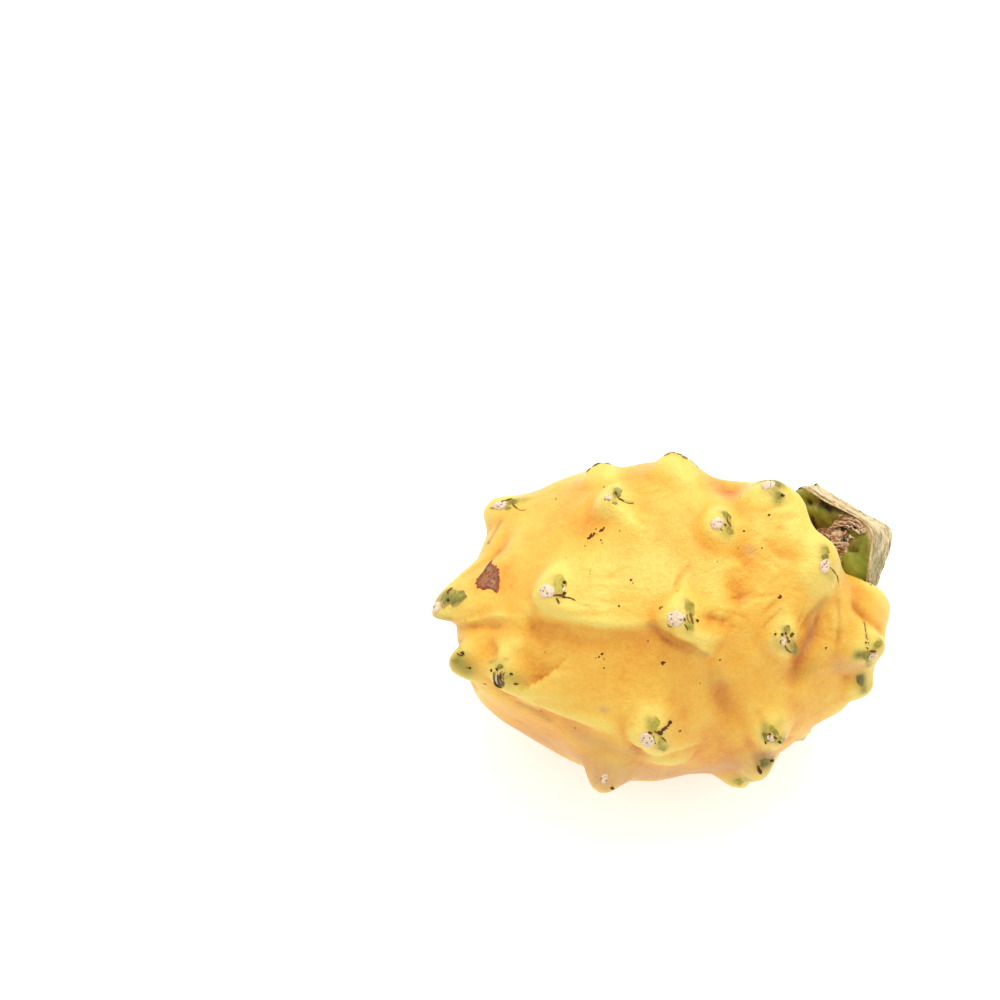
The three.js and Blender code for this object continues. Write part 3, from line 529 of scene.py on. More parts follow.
# The tips that the photograph doesn't show: how the sizes above vary there, and their dried bits.
USUAL = dict(pad=(0.75, 1.1), pad_length=(0.85, 1.1), scale=(0.8, 1.15), dark=(0.4, 1.6),
             astray=0.25)
BITS = dict(count=(2, 5), length=(0.9, 2.4), radius=(0.12, 0.3), stemward=(3.0, 5.0),
            topward=(-2.6, 2.4), paleness=(0.0, 0.15, 0.9))
BIT = dict(bow=0.2, thickness=0.72, flatness=0.7, uneven=(0.8, 1.2), lift=0.35, rising=0.2)
BIT_STEPS = 7
TUBE_UP = (0.31, 0.2, 0.93)  # no tube runs along this
BIT_ENDS, FIBRE_ENDS = 0.35, 0.4  # how thick their ends are, to what their middle adds
DETAIL_SEED = 5

# The stem: the same wedge and neck as the CAD's, from the same sizes.
KNOT = np.array([44.2, 1.7, 18.3 + AXIS_HEIGHT])
STEM_LONG = (0.24, -0.97, -0.11)
STEM_OUT = (0.94, 0.2, 0.27)
STEM_EDGE = ((-17, -4), (-13, -5), (-6.5, -5.5), (-0.5, -3), (3.5, -4.5), (9, -5), (15, -1))
STEM_NEAR = ((-17, -1.5), (-9, 1), (-5, 3.2), (0, 6), (4.5, 7), (8, 5), (12, 1.5), (15, -1))
STEM_FAR = ((-17, 3.4), (-12, 7), (-6, 10), (1, 13.5), (5.5, 11), (10, 6), (15, 1))
STEM_DEPTH = dict(near=9.5, far=7)
FLANK = dict(curve=0.55, drawn_in=0.3, drawn_within=4)
FACE_HOLLOW = 0.7
TIP_DEPTH = 0.2
TIP_WALL = 4  # how late the wedge narrows towards its tips
WEDGE_HOLD = dict(share=0.51, across=1.02)  # what counts as in the wedge, from its middle
FRAME_NET = (60, 20)  # points down and across the wedge, to find its box
NECK = dict(base=4.2, collar=5.4, sunk=3, seat=2, widens=(0.3, 0.9))
KNOBS = ((3, 0.1, 4), (5, 0.06, -7))  # knobs round the neck, share of its radius, twist
STEM_GAP = 0.3
STEM_NET = (150, 44)  # sections along the wedge, points across each flank and the face
STEM_LUMPS = ((0.3, 5, 51), (0.08, 1.4, 52))  # height, size, seed
UNDER_CRUST = dict(depth=0.8, rise=6)  # share of the crust's, and how soon after the rim
STEM_FOLD_ROUNDS, CORK_FOLD_ROUNDS = 20, 12
STEM_INSET = 0.5  # room for the crust and fibres within the CAD stem's box
STEM_PLAY = 0.1  # the same on the sides that carry none
CUT_NET = (140, 50)
CUT = dict(height=0.22, crumbs=0.14, web=0.14, sunk=0.6, ragged=0.22, shrink=0.985, rim=0.08,
           grey=(0.45, 0.95), grain=(1, 0.3, 1))
FIBRES = dict(near=110, far=60, length=(0.04, 0.22), spread=0.16, stands=0.3, radius=(0.1, 0.28),
              starts=0.93, ends=0.995, slant=0.03, wavy=0.05, steps=7, flatness=0.7,
              grey=(0.0, 0.0, 0.5), dark=(0, 0, 0, 0.5))
CORK_NET = (90, 110)
CORK = dict(shreds=0.55, crumbs=0.2, grain=(0.6, 1, 1))
LONGEST_GAP = 5.0  # between two stops of a strand
# Of a strand's radius: how far it stands out, strays and wavers, and its own thickness.
STRAND = dict(fibres=2, steps=4, out=0.4, astray=0.9, wavy=0.4, radius=(0.2, 0.7), flatness=0.8,
              fold=0.1)
CRUMB = dict(net=5, size=(0.5, 1.2), flatness=0.5, height=0.6, wall=3, rough=0.08, sunk=0.3,
             fold=0.35)
# How far faces turn down before they take painted bounce light from the floor, and how strongly.
UNDERSIDE = dict(turned_down=(0.1, 0.75), pink_and_bounce_light=0.4)
# The folds' colour is painted shade in creases and painted light on ridges.
FOLD_LIMIT = 0.35  # sharper folds take no stronger colour than this
RIDGE_SHARE = 0.6  # the same for ridges, as a share of it
FOLD_ROUNDS = (12, 160)  # of smoothing, for the fine and the broad folds
TIP_REACH = 30.0  # how far from a tubercle's foot the rind still counts as its own

# How bright the rind is: its fields, and the noises of its clouds, mottle and grains.
# The folds and standing paint shade into creases and light onto ridges, over the rind's own tones.
RIND_TONE = dict(base=0.49, noises=(0.38, 0.34, 0.34), fields=(
    ("standing", 0.02), ("fold", 0.5), ("broad_fold", 0.3), ("pale", 0.3), ("orange_and_shade", -0.3)))

# ------------------------------------------------------------ floor and light, in metres

WORLD_STRENGTH = 0.95
BRIGHTNESS = 1.33  # of a white surface that faces up, in this light
KEY = dict(place=(0.08, 0.2, 0.62), aim=(0, 0, 0.04), size=0.4, power=3.0)
# It glows a little, because the photograph's ground is pure white.
FLOOR = dict(half=2.0, lumps=90, roughness=0.7, glow=0.4,
             tones=((0.3, (0.86, 0.87, 0.88)), (0.7, (0.88, 0.89, 0.9))))

# ------------------------------------------------------------ small helpers

TINY = 1e-6  # what counts as no distance at all
HASH = dict(axes=(73856093, 19349663, 83492791), seed=2654435761, mixer=0x45D9F3B, word=0xFFFFFFFF)

# The size in millimetres and the seed of each roughness.
ROUGH = dict(pad=(0.8, 21), scale=(1.2, 31), scrape=(1.4, 41), cut=(1.6, 61), web=(0.8, 62),
             weather=(4, 63), shreds=(1.5, 71), crumbs=(0.6, 72))


def bell(x):
    return np.exp(-x * x)


def plateau(x, wall):
    return np.exp(-(x ** wall))


def smooth(low, high, x):
    share = np.clip((x - low) / (high - low), 0, 1)
    return share * share * (3 - 2 * share)


def unit(vectors):
    return vectors / np.linalg.norm(vectors, axis=-1, keepdims=True)


def hashed(cells, seed):
    """Random numbers from 0 to 1 that depend only on whole-numbered cells."""
    mixed = seed * HASH["seed"]
    for axis, prime in enumerate(HASH["axes"]):
        mixed = mixed ^ cells[..., axis] * prime
    mixed = mixed & HASH["word"]
    for _ in range(2):
        mixed = ((mixed >> 16) ^ mixed) * HASH["mixer"] & HASH["word"]
    return ((mixed >> 16) ^ mixed) / HASH["word"]


def noise(points, size, seed):
    """Smooth random heights from -1 to 1, a size apart."""
    scaled = points / size
    cells = np.floor(scaled).astype(np.int64)
    part = scaled - cells
    part = part * part * (3 - 2 * part)
    total = np.zeros(points.shape[:-1])
    for corner in itertools.product((0, 1), repeat=3):
        weight = np.prod(np.where(np.array(corner) == 1, part, 1 - part), axis=-1)
        total += weight * hashed(cells + np.array(corner), seed)
    return 2 * total - 1


def rough(points, size, seed, octaves=3):
    """Noise with finer and lower noise on it."""
    return sum(noise(points, size / 2 ** k, seed + k) / 2 ** k for k in range(octaves))


def catmull(stops, steps):
    """A curve through the stops, as a list of points."""
    stops = [np.array(stop, float) for stop in stops]
    last = len(stops) - 1
    found = []
    for k in range(last * steps + 1):
        i = min(k // steps, last - 1)
        w = k / steps - i
        before, a, b = stops[max(i - 1, 0)], stops[i], stops[i + 1]
        after = stops[min(i + 2, last)]
        slope_a, slope_b = (b - before) / 2, (after - a) / 2
        cubic = 2 * a - 2 * b + slope_a + slope_b
        square = -3 * a + 3 * b - 2 * slope_a - slope_b
        found.append(cubic * w ** 3 + square * w ** 2 + slope_a * w + a)
    return np.array(found)


# ------------------------------------------------------------ the rind's formula


def oval_at(angle):
    return 1 + sum(share * np.cos(lobes * angle + phase) for lobes, share, phase in OVAL)


def body_at(direction):
    """Points and outward normals of the plain body, in the directions of unit vectors."""
    along, y, z = direction.T
    aside = np.hypot(y, z)
    angle = np.arctan2(-y, z)
    scale = (np.abs(along) ** ROUNDNESS + aside ** ROUNDNESS) ** (-1 / ROUNDNESS)
    x = HALF_LENGTH * along * scale
    swell = 1 + STEM_END_SWELL * x / HALF_LENGTH
    radius = RADIUS * aside * scale * swell * oval_at(angle)
    slope_x = np.sign(x) * np.abs(x / HALF_LENGTH) ** (ROUNDNESS - 1) / HALF_LENGTH
    slope_r = (radius / RADIUS) ** (ROUNDNESS - 1) / RADIUS
    points = np.stack([x, -radius * np.sin(angle), radius * np.cos(angle)], -1)
    normals = np.stack([slope_x, -slope_r * np.sin(angle), slope_r * np.cos(angle)], -1)
    return points, unit(normals)


def direction_of(points):
    """The directions in which the plain body passes near these points."""
    x, y, z = np.asarray(points, float).reshape(-1, 3).T
    angle = np.arctan2(-y, z)
    radius = RADIUS * (1 + STEM_END_SWELL * x / HALF_LENGTH) * oval_at(angle)
    return unit(np.stack([x / HALF_LENGTH, y / radius, z / radius], -1))


def places_at(places):
    """Points and normals of the plain body at places on the rind."""
    along, angle = np.array(places, float).reshape(-1, 2).T
    angle = np.radians(angle)
    share = np.minimum(np.abs(along) / HALF_LENGTH, LAST_SHARE)
    aside = (1 - share ** ROUNDNESS) ** (1 / ROUNDNESS)
    around = [np.sign(along) * share, -aside * np.sin(angle), aside * np.cos(angle)]
    return body_at(unit(np.stack(around, -1)))


class Place:
    """A place on the plain body, with its own axes."""

    def __init__(self, foot, normal):
        self.foot, self.normal = foot, normal
        self.to_blossom = unit(np.array([-1.0, 0, 0]) + normal * normal[0])
        self.across = np.cross(normal, self.to_blossom)

    def beside(self, stemward, topward):
        """Points level with the body here, so many millimetres to the stem and to the top."""
        stemward, topward = np.asarray(stemward, float), np.asarray(topward, float)
        return self.foot - stemward[..., None] * self.to_blossom - topward[..., None] * self.across

    def steps_to(self, other):
        """How far stemward and topward another place is."""
        offset = other.foot - self.foot
        return np.array([-offset @ self.to_blossom, -offset @ self.across])


def foot_at(along, round_):
    """Point and normal of the plain body at one place."""
    return [found[0] for found in places_at([(along, round_)])]


class Tubercle(Place):
    """One tubercle. Its point leans over towards the blossom end."""

    def __init__(self, name, along, round_, point, mound, lean, size):
        super().__init__(*foot_at(along, round_))
        self.name, self.place = name, (along, round_)
        self.point, self.mound, self.size = point, mound, size
        self.leaning = unit(self.normal + lean * self.to_blossom)

    def lift(self, points, normals):
        """How the tubercle moves points of the plain body."""
        moved = np.zeros_like(points)
        offset = points - self.foot
        near = np.linalg.norm(offset, axis=1) <= TUBERCLE_REACH
        offset, normals = offset[near], normals[near]
        blossom = offset @ self.to_blossom / self.size
        across = np.abs(offset @ self.across) / self.size
        same_side = smooth(*TUBERCLE_SIDE, offset @ self.normal)
        at_shoulder = self.place[0] >= SHOULDER_ALONG
        to_stem = MOUND["to_stem_at_shoulder"] if at_shoulder else MOUND["to_stem"]
        length = np.where(blossom < 0, to_stem, MOUND["to_blossom"])
        mound = bell(blossom / length) * bell(across / MOUND["across"])
        from_crest = blossom + CREST["offset"] + CREST["sweep"] * across
        crest = bell(from_crest / CREST["width"]) * bell(across / CREST["length"])
        hollow = bell((blossom + HOLLOW["offset"]) / HOLLOW["width"])
        hollow *= bell(across / HOLLOW["length"])
        reach = np.where(blossom < 0, POINT["to_stem"], POINT["to_blossom"])
        corner = POINT["corner"]
        sides = (np.abs(blossom) / reach) ** corner + (across / POINT["across"]) ** corner
        peak = 1 - smooth(POINT["flat_to"], POINT["ends_at"], sides ** (1 / corner))
        rise = self.mound * mound + CREST["height"] * crest - HOLLOW["depth"] * hollow
        moved[near] = normals * (rise * same_side)[:, None]
        moved[near] += self.leaning * (self.point * peak * same_side)[:, None]
        return moved


def spiral_tubercles(taken):
    """Tubercles of the back and underside, far enough from all the others."""
    feet = [tubercle.foot for tubercle in taken]
    found = []
    for i in range(SPIRAL["tries"]):
        along = SPIRAL["start"] + (SPIRAL["end"] - SPIRAL["start"]) * i / SPIRAL["tries"]
        round_ = (i * SPIRAL["turn"]) % 360
        first, last = SPIRAL["round"]
        foot = foot_at(along, round_)[0]
        clear = min(np.linalg.norm(foot - other) for other in feet) > SPIRAL["spacing"]
        if first < round_ < last and clear:
            feet.append(foot)
            found.append(Tubercle(f"back_{len(found) + 1}", along, round_, *SPIRAL_SHAPE))
    return found


NAMED = [Tubercle(name, *shape) for name, shape in TUBERCLES.items()]
ALL_TUBERCLES = NAMED + spiral_tubercles(NAMED)


class Fold:
    """A ridge or crease along a chain of points on the plain body."""

    def __init__(self, height, front, back, points):
        self.height, self.front, self.back, self.points = height, front, back, points
        self.centre = points.mean(0)
        self.reach = np.linalg.norm(points - self.centre, axis=1).max()
        self.reach += LINE_REACH * max(front, back)

    def at(self, points, normals):
        heights = np.zeros(len(points))
        near = np.linalg.norm(points - self.centre, axis=1) < self.reach
        if not near.any():
            return heights
        points, normals = points[near], normals[near]
        nearest = np.full(len(points), np.inf)
        along = np.zeros(len(points))
        towards_top = np.zeros(len(points), bool)
        pieces = len(self.points) - 1
        for i in range(pieces):
            piece = self.points[i + 1] - self.points[i]
            offset = points - self.points[i]
            share = np.clip(offset @ piece / (piece @ piece), 0, 1)
            offset = offset - share[:, None] * piece
            away = np.linalg.norm(offset, axis=1)
            closer = away < nearest
            side = np.einsum("ij,ij->i", np.cross(normals, piece), offset) > 0
            nearest = np.where(closer, away, nearest)
            along = np.where(closer, (i + share) / pieces, along)
            towards_top = np.where(closer, side, towards_top)
        fade = np.minimum(np.minimum(along, 1 - along) * LINE_FADE, 1)
        width = np.where(towards_top, self.back, self.front)
        heights[near] = self.height * fade * bell(nearest / width)
        return heights


def line_fold(height, front, back, path):
    stops = [TUBERCLES[stop][:2] if isinstance(stop, str) else stop for stop in path]
    return Fold(height, front, back, places_at(catmull(stops, LINE_STEPS))[0])


def lip_folds(tubercle):
    """The lip of a tubercle, and the hollow that its steep side falls into."""
    sharp = LIP_SHARPNESS.get(tubercle.name, LIP_USUAL)
    path = catmull(LIP_PATH, LINE_STEPS) * tubercle.size
    turn = unit(np.gradient(path, axis=0))
    outward = np.stack([turn[:, 1], -turn[:, 0]], -1)
    below = path + outward * LIP_SHADOW["out"]
    folds = []
    for shape, flat in ((LIP, path), (LIP_SHADOW, below)):
        points = body_at(direction_of(tubercle.beside(flat[:, 0], flat[:, 1])))[0]
        folds.append(Fold(shape["height"] * sharp, shape["front"], shape["back"], points))
    return folds


def fan_folds():
    """Wrinkles that spread from a few places."""
    random = np.random.default_rng(FAN["seed"])
    folds = []
    for place, first, last, count, nearest, furthest, depth in FANS:
        centre = Place(*foot_at(*place))
        for k in range(count):
            step = k + random.uniform(-FAN["astray"], FAN["astray"])
            angle = math.radians(first + (last - first) * step / (count - 1))
            bend = math.radians(random.uniform(-FAN["bend"], FAN["bend"]))
            start = nearest * random.uniform(*FAN["start"])
            end = start + (furthest - start) * random.uniform(*FAN["end"])
            away = np.linspace(start, end, FAN["steps"])
            turned = angle + bend * (away - start) / (end - start)
            flat = centre.beside(away * np.cos(turned), away * np.sin(turned))
            points = body_at(direction_of(flat))[0]
            width = FAN["width"] * random.uniform(*FAN["widths"])
            folds.append(Fold(-depth * random.uniform(*FAN["depths"]), width, width, points))
    return folds


BROAD_FOLDS = [line_fold(*line) for line in BROAD_LINES]
FINE_FOLDS = [line_fold(*line) for line in FINE_LINES] + fan_folds()
for tubercle in ALL_TUBERCLES:
    FINE_FOLDS += lip_folds(tubercle)
BASIN_FOOT, BASIN_NORMAL = foot_at(*BASIN["place"])


def basin_depth(points):
    """How far the basin and its well draw points of the plain body in."""
    offset = points - BASIN_FOOT
    behind = offset @ BASIN_NORMAL
    offset = offset - behind[:, None] * BASIN_NORMAL
    away = np.linalg.norm(offset, axis=1)
    frontward = np.maximum(offset @ BASIN_FRONT / np.maximum(away, 1), 0)
    radius = BASIN["radius"] * (1 - BASIN["narrowing"] * frontward)
    depth = BASIN["depth"] * plateau(away / radius, BASIN["wall"])
    depth += WELL["depth"] * plateau(away / WELL["radius"], WELL["wall"])
    return depth * (behind >= BASIN["side"])


def rind_at(direction):
    """The finished rind in the directions of unit vectors, and how high it stands there."""
    points, normals = body_at(direction)
    lift = np.zeros_like(points)
    for tubercle in ALL_TUBERCLES:
        lift += tubercle.lift(points, normals)
    rise = sum(fold.at(points, normals) for fold in BROAD_FOLDS)
    for place, height, reach in SWELLINGS:
        away = np.linalg.norm(points - foot_at(*place)[0], axis=1)
        rise = rise + height * bell(away / reach)
    lift += normals * rise[:, None]
    lift -= BASIN_NORMAL * basin_depth(points)[:, None]
    aside = np.hypot(points[:, 1], points[:, 2])
    flower_end = FLOWER_END["height"] * plateau(aside / FLOWER_END["radius"], FLOWER_END["wall"])
    lift[:, 0] += np.where(points[:, 0] < 0, flower_end, 0)
    fine = sum(fold.at(points, normals) for fold in FINE_FOLDS)
    for size, height, seed in LUMPS:
        fine = fine + height * noise(points, size, seed)
    standing = np.einsum("ij,ij->i", lift, normals)
    rind = points + lift + normals * fine[:, None]
    rind[:, 2] = np.maximum(rind[:, 2] + AXIS_HEIGHT, 0)
    return rind, standing


def geodesic(detail):
    """Unit vectors and triangles of an icosahedron whose edges are split into detail parts."""
    golden = (1 + 5 ** 0.5) / 2
    corners = [(0, a, b * golden) for a in (-1, 1) for b in (-1, 1)]
    corners = np.array([np.roll(corner, turn) for turn in range(3) for corner in corners])
    edge = 2.0
    triples = itertools.combinations(range(len(corners)), 3)
    apart = np.linalg.norm(corners[:, None] - corners[None], axis=-1)
    sides = [t for t in triples if all(abs(apart[a, b] - edge) < TINY
                                       for a, b in itertools.combinations(t, 2))]
    points, faces = [], []
    for a, b, c in sides:
        if np.dot(np.cross(corners[b] - corners[a], corners[c] - corners[a]), corners[a]) < 0:
            b, c = c, b
        index = {}
        for i in range(detail + 1):
            for j in range(detail + 1 - i):
                index[i, j] = len(points)
                k = detail - i - j
                points.append((corners[a] * k + corners[b] * i + corners[c] * j) / detail)
        for i in range(detail):
            for j in range(detail - i):
                faces.append((index[i, j], index[i + 1, j], index[i, j + 1]))
                if i + j < detail - 1:
                    faces.append((index[i + 1, j], index[i + 1, j + 1], index[i, j + 1]))
    points = unit(np.array(points))
    key = np.round(points * 1e6).astype(np.int64)
    _, first, inverse = np.unique(key, axis=0, return_index=True, return_inverse=True)
    return points[first], inverse.reshape(-1)[np.array(faces)]


# ------------------------------------------------------------ the stem's formula


def outline_at(outline, distance):
    curve = catmull(outline, LINE_STEPS)
    return np.interp(distance, curve[:, 0], curve[:, 1])


class Wedge:
    """The wedge of stem. Its axes are long, down its length, out, to the cut face, and deep."""

    def __init__(self):
        self.long = unit(np.array(STEM_LONG))
        out = np.array(STEM_OUT)
        self.out = unit(out - self.long * (out @ self.long))
        self.deep = np.cross(self.out, self.long)
        self.ends = np.array([STEM_EDGE[0][0], STEM_EDGE[-1][0]])

    def sizes(self, share):
        """Distance down the wedge, bulge, outlines and flatness of the flanks at a share of it."""
        distance = self.ends[0] + (self.ends[1] - self.ends[0]) * share
        bulge = np.sqrt(np.maximum(1 - (2 * share - 1) ** TIP_WALL, TIP_DEPTH ** 2))
        outlines = [outline_at(outline, distance) for outline in (STEM_EDGE, STEM_NEAR, STEM_FAR)]
        flat = FLANK["curve"] + FLANK["drawn_in"] * bell(distance / FLANK["drawn_within"])
        return distance, bulge, outlines, flat

    def place(self, distance, outwards, depth):
        steps = (distance, outwards, depth), (self.long, self.out, self.deep)
        return KNOT + sum(np.asarray(step)[..., None] * axis for step, axis in zip(*steps))

    def flank(self, share, across, side):
        """Points from the stem's edge to the rim of the cut face, on the far or the near side."""
        distance, bulge, (edge, near, far), flat = self.sizes(share)
        rim = far if side == "far" else near
        sign = 1 if side == "far" else -1
        depth = sign * STEM_DEPTH[side] * bulge * across ** flat
        return self.place(distance, edge + (rim - edge) * across, depth)

    def face(self, share, across):
        """Points on the cut face, from its far rim to its near one."""
        distance, bulge, (_, near, far), _ = self.sizes(share)
        sunk = FACE_HOLLOW * np.sin(math.pi * across) * bulge
        far_depth, near_depth = STEM_DEPTH["far"] * bulge, STEM_DEPTH["near"] * bulge
        depth = far_depth - (far_depth + near_depth) * across
        return self.place(distance, far + (near - far) * across - sunk, depth)

    def inside(self, points):
        """How far points are past the flanks, along out, or 0 where they aren't in the wedge."""
        offset = points - KNOT
        distance, outwards, depth = offset @ self.long, offset @ self.out, offset @ self.deep
        share = (distance - self.ends[0]) / (self.ends[1] - self.ends[0])
        _, bulge, (edge, near, far), flat = self.sizes(np.clip(share, 0, 1))
        on_far = depth > 0
        rim = np.where(on_far, far, near)
        across = np.abs(depth) / (np.where(on_far, STEM_DEPTH["far"], STEM_DEPTH["near"]) * bulge)
        flank = edge + (rim - edge) * across ** (1 / flat)
        face = near + (far - near) * (depth / bulge + STEM_DEPTH["near"]) / sum(STEM_DEPTH.values())
        past = outwards - flank + STEM_GAP
        held = (np.abs(share - 0.5) < WEDGE_HOLD["share"]) & (across < WEDGE_HOLD["across"])
        held &= (outwards < face) & (past > 0)
        return np.where(held, past, 0)


wedge = Wedge()


def frame_shift():
    """From the fruit's own millimetres to the frame's: what puts the wedge where the CAD has it."""
    share, across = (np.linspace(0, 1, count) for count in FRAME_NET)
    share, across = share[:, None], across[None]
    sides = [wedge.flank(share, across, side) for side in ("far", "near")]
    points = np.concatenate([*sides, wedge.face(share, across)], 1).reshape(-1, 3)
    low, high = (np.array(corner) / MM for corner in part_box("stem_piece"))
    return (low + high - points.min(0) - points.max(0)) / 2


FRAME_SHIFT = frame_shift()


def to_frame(points):
    return points + FRAME_SHIFT


def pressed_by_wedge(points):
    """The rind's points, moved out of the wedge that lies against them."""
    return points - wedge.inside(points)[:, None] * wedge.out


# ------------------------------------------------------------ the photograph's camera

PER_PIXEL = CAMERA["sensor"] / CAMERA["lens"] / IMAGE  # width of a pixel one metre away


def camera_axes():
    """The camera's right, up and backward directions."""
    elevation, azimuth = (math.radians(CAMERA[key]) for key in ("elevation", "azimuth"))
    level = math.cos(elevation)
    back = (math.sin(azimuth) * level, -math.cos(azimuth) * level, math.sin(elevation))
    right = (math.cos(azimuth), math.sin(azimuth), 0)
    return np.array(right), np.cross(back, right), np.array(back)


def camera_place(aim):
    """Where the camera stands if it shows this point at AIM."""
    right, up, back = camera_axes()
    aside = (AIM[0] - IMAGE / 2) * right - (AIM[1] - IMAGE / 2) * up
    return aim + (back - aside * PER_PIXEL) * CAMERA["distance"]


# ------------------------------------------------------------ putting shapes in the frame


class Fitting:
    """Puts the fruit's own millimetres in the frame, so that a shape fills a CAD node's box."""

    def __init__(self, points, node, inset_low=(0, 0, 0), inset_high=(0, 0, 0)):
        low, high = (np.array(corner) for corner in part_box(node))
        self.low = low + np.array(inset_low) * MM
        self.own_low = points.min(0)
        self.scale = (high - np.array(inset_high) * MM - self.low) / (points.max(0) - self.own_low)

    def __call__(self, points):
        return self.low + (points - self.own_low) * self.scale


def corner_shares(corners, wanted):
    """How much of each corner of a triangle makes up each wanted point."""
    shares = np.linalg.solve(np.swapaxes(corners, 1, 2), wanted[..., None])[..., 0]
    return shares / shares.sum(1, keepdims=True)


class Sight:
    """Surfaces as the photograph's camera sees them."""

    def __init__(self, eye, shown, faces, middle):
        self.eye, self.middle = eye, np.array(middle, float)
        self.tree = BVHTree.FromPolygons(shown.tolist(), faces)

    def look(self, pixel):
        """Place, outward normal and face of what shows at a pixel, or next to it further in."""
        right, up, back = camera_axes()
        for share in np.linspace(0, 1, LOOKS_ASIDE):
            column, row = np.array(pixel) * (1 - share) + self.middle * share
            aside = (column - IMAGE / 2) * right - (row - IMAGE / 2) * up
            ray = unit(aside * PER_PIXEL - back)
            hit, normal, face, _ = self.tree.ray_cast(Vector(self.eye), Vector(ray))
            if hit is not None:
                normal = np.array(normal)
                return np.array(hit), normal if normal @ ray < 0 else -normal, face
        raise ValueError("nothing shows at the middle of this surface")


class Net:
    """The rind as a net of triangles, which other things are placed on."""

    def __init__(self, directions, faces, points, normals, fitting):
        self.directions, self.faces = directions, faces
        self.points, self.normals = points, normals
        self.fitting = fitting
        self.sphere = BVHTree.FromPolygons(directions.tolist(), faces.tolist())
        self.shown = fitting(points)
        eye = camera_place(fitting(np.array([0, 0, AXIS_HEIGHT])))
        self.sight = Sight(eye, self.shown, faces.tolist(), AIM)

    def at(self, level):
        """Points and outward normals of the rind next to points that are level with it."""
        wanted = direction_of(level)
        found = [self.sphere.ray_cast((0, 0, 0), direction)[2] for direction in wanted]
        found = [0 if face is None else face for face in found]
        corners = self.faces[found]
        shares = corner_shares(self.directions[corners], wanted)[..., None]
        points = (self.points[corners] * shares).sum(1)
        normals = unit((self.normals[corners] * shares).sum(1))
        return points.reshape(level.shape), normals.reshape(level.shape)

    def seen_at(self, pixel):
        """The place on the rind that shows at a pixel of the photograph."""
        hit, _, face = self.sight.look(pixel)
        corners = self.faces[[face]]
        shares = corner_shares(self.shown[corners], hit[None])[..., None]
        direction = unit((self.directions[corners] * shares).sum(1))
        return Place(*(found[0] for found in body_at(direction)))


def stained(points, patches, sight):
    """How strongly soft patches, given by two pixels, radius and strength, colour points."""
    found = np.zeros(len(points))
    for start, end, radius, strength in patches:
        first, last = (sight.look(pixel)[0] / MM for pixel in (start, end))
        piece = last - first
        share = np.clip((points - first) @ piece / max(piece @ piece, TINY), 0, 1)
        away = np.linalg.norm(points - first - share[:, None] * piece, axis=1)
        found = np.maximum(found, strength * bell(away / radius))
    return found


def square_net(rows, columns):
    """Numbers from -1 to 1 over a grid."""
    return np.meshgrid(np.linspace(-1, 1, rows), np.linspace(-1, 1, columns), indexing="ij")


def round_net(size):
    """The same drawn in to a disc."""
    x, y = square_net(size, size)
    return x * np.sqrt(1 - y * y / 2), y * np.sqrt(1 - x * x / 2)


def thickness(count, ends):
    """How thick a fibre is down its length, with its ends as a share of its middle."""
    return ends + np.sin(np.linspace(0, math.pi, count)) ** 0.5


def grid_faces(rows, columns, start=0):
    index = np.arange(rows * columns).reshape(rows, columns) + start
    sides = index[:-1, :-1], index[1:, :-1], index[1:, 1:], index[:-1, 1:]
    return np.stack([side.ravel() for side in sides], -1).tolist()


def ring_faces(rings, sides):
    """Faces of a closed skin over rings of points, with its two ends closed."""
    faces = []
    for i in range(rings - 1):
        for j in range(sides):
            a, b = i * sides + j, i * sides + (j + 1) % sides
            faces.append([a, b, b + sides, a + sides])
    faces.append(list(range(sides))[::-1])
    faces.append([(rings - 1) * sides + j for j in range(sides)])
    return faces


class Pile:
    """Small closed shapes, gathered in one mesh."""

    def __init__(self):
        self.points, self.faces, self.fields, self.count = [], [], {}, 0

    def add(self, points, faces, **fields):
        points = points.reshape(-1, 3)
        self.faces += [[corner + self.count for corner in face] for face in faces]
        self.points.append(points)
        for name in {**self.fields, **fields}:
            values = np.broadcast_to(fields.get(name, 0.0), len(points))
            self.fields.setdefault(name, [np.zeros(self.count)]).append(values)
        self.count += len(points)

    def slab(self, top, bottom, **fields):
        """A shape between two nets of points. Its fields are those of the top."""
        rows, columns = top.shape[:2]
        half = rows * columns
        border = [(0, j) for j in range(columns)] + [(i, columns - 1) for i in range(1, rows)]
        border += [(rows - 1, j) for j in range(columns - 2, -1, -1)]
        border += [(i, 0) for i in range(rows - 2, 0, -1)]
        ring = [i * columns + j for i, j in border]
        faces = grid_faces(rows, columns)
        faces += [face[::-1] for face in grid_faces(rows, columns, half)]
        for a, b in zip(ring, ring[1:] + ring[:1]):
            faces.append([a, b, b + half, a + half])
        doubled = {name: np.tile(np.broadcast_to(value, (rows, columns)).ravel(), 2)
                   for name, value in fields.items()}
        self.add(np.concatenate([top.reshape(-1, 3), bottom.reshape(-1, 3)]), faces, **doubled)

    def crust(self, points, normals, lift, sunk, **fields):
        """A slab on the rind, lifted out of it, with its underside sunk in."""
        self.slab(points + normals * lift[..., None], points - normals * sunk, **fields)

    def tube(self, path, radii, flatness, sides=7, **fields):
        """A closed tube along a path, flattened where flatness is below 1."""
        path, radii = np.asarray(path, float), np.asarray(radii, float)
        ahead = unit(np.gradient(path, axis=0))
        aside = unit(np.cross(ahead, TUBE_UP))
        over = np.cross(aside, ahead)
        angle = np.linspace(0, 2 * math.pi, sides, endpoint=False)
        ring = aside[:, None] * np.cos(angle)[:, None]
        ring = ring + over[:, None] * np.sin(angle)[:, None] * flatness
        points = (path[:, None] + ring * radii[:, None, None]).reshape(-1, 3)
        self.add(points, ring_faces(len(path), sides), **fields)

    def piece(self, name, fitting):
        """The gathered shapes as one object, none of it below what the fruit lies on."""
        points = fitting(np.concatenate(self.points))
        points[:, 2] = np.maximum(points[:, 2], 0)
        fields = {key: np.concatenate(values) for key, values in self.fields.items()}
        return closed_object(name, points, self.faces, fields)


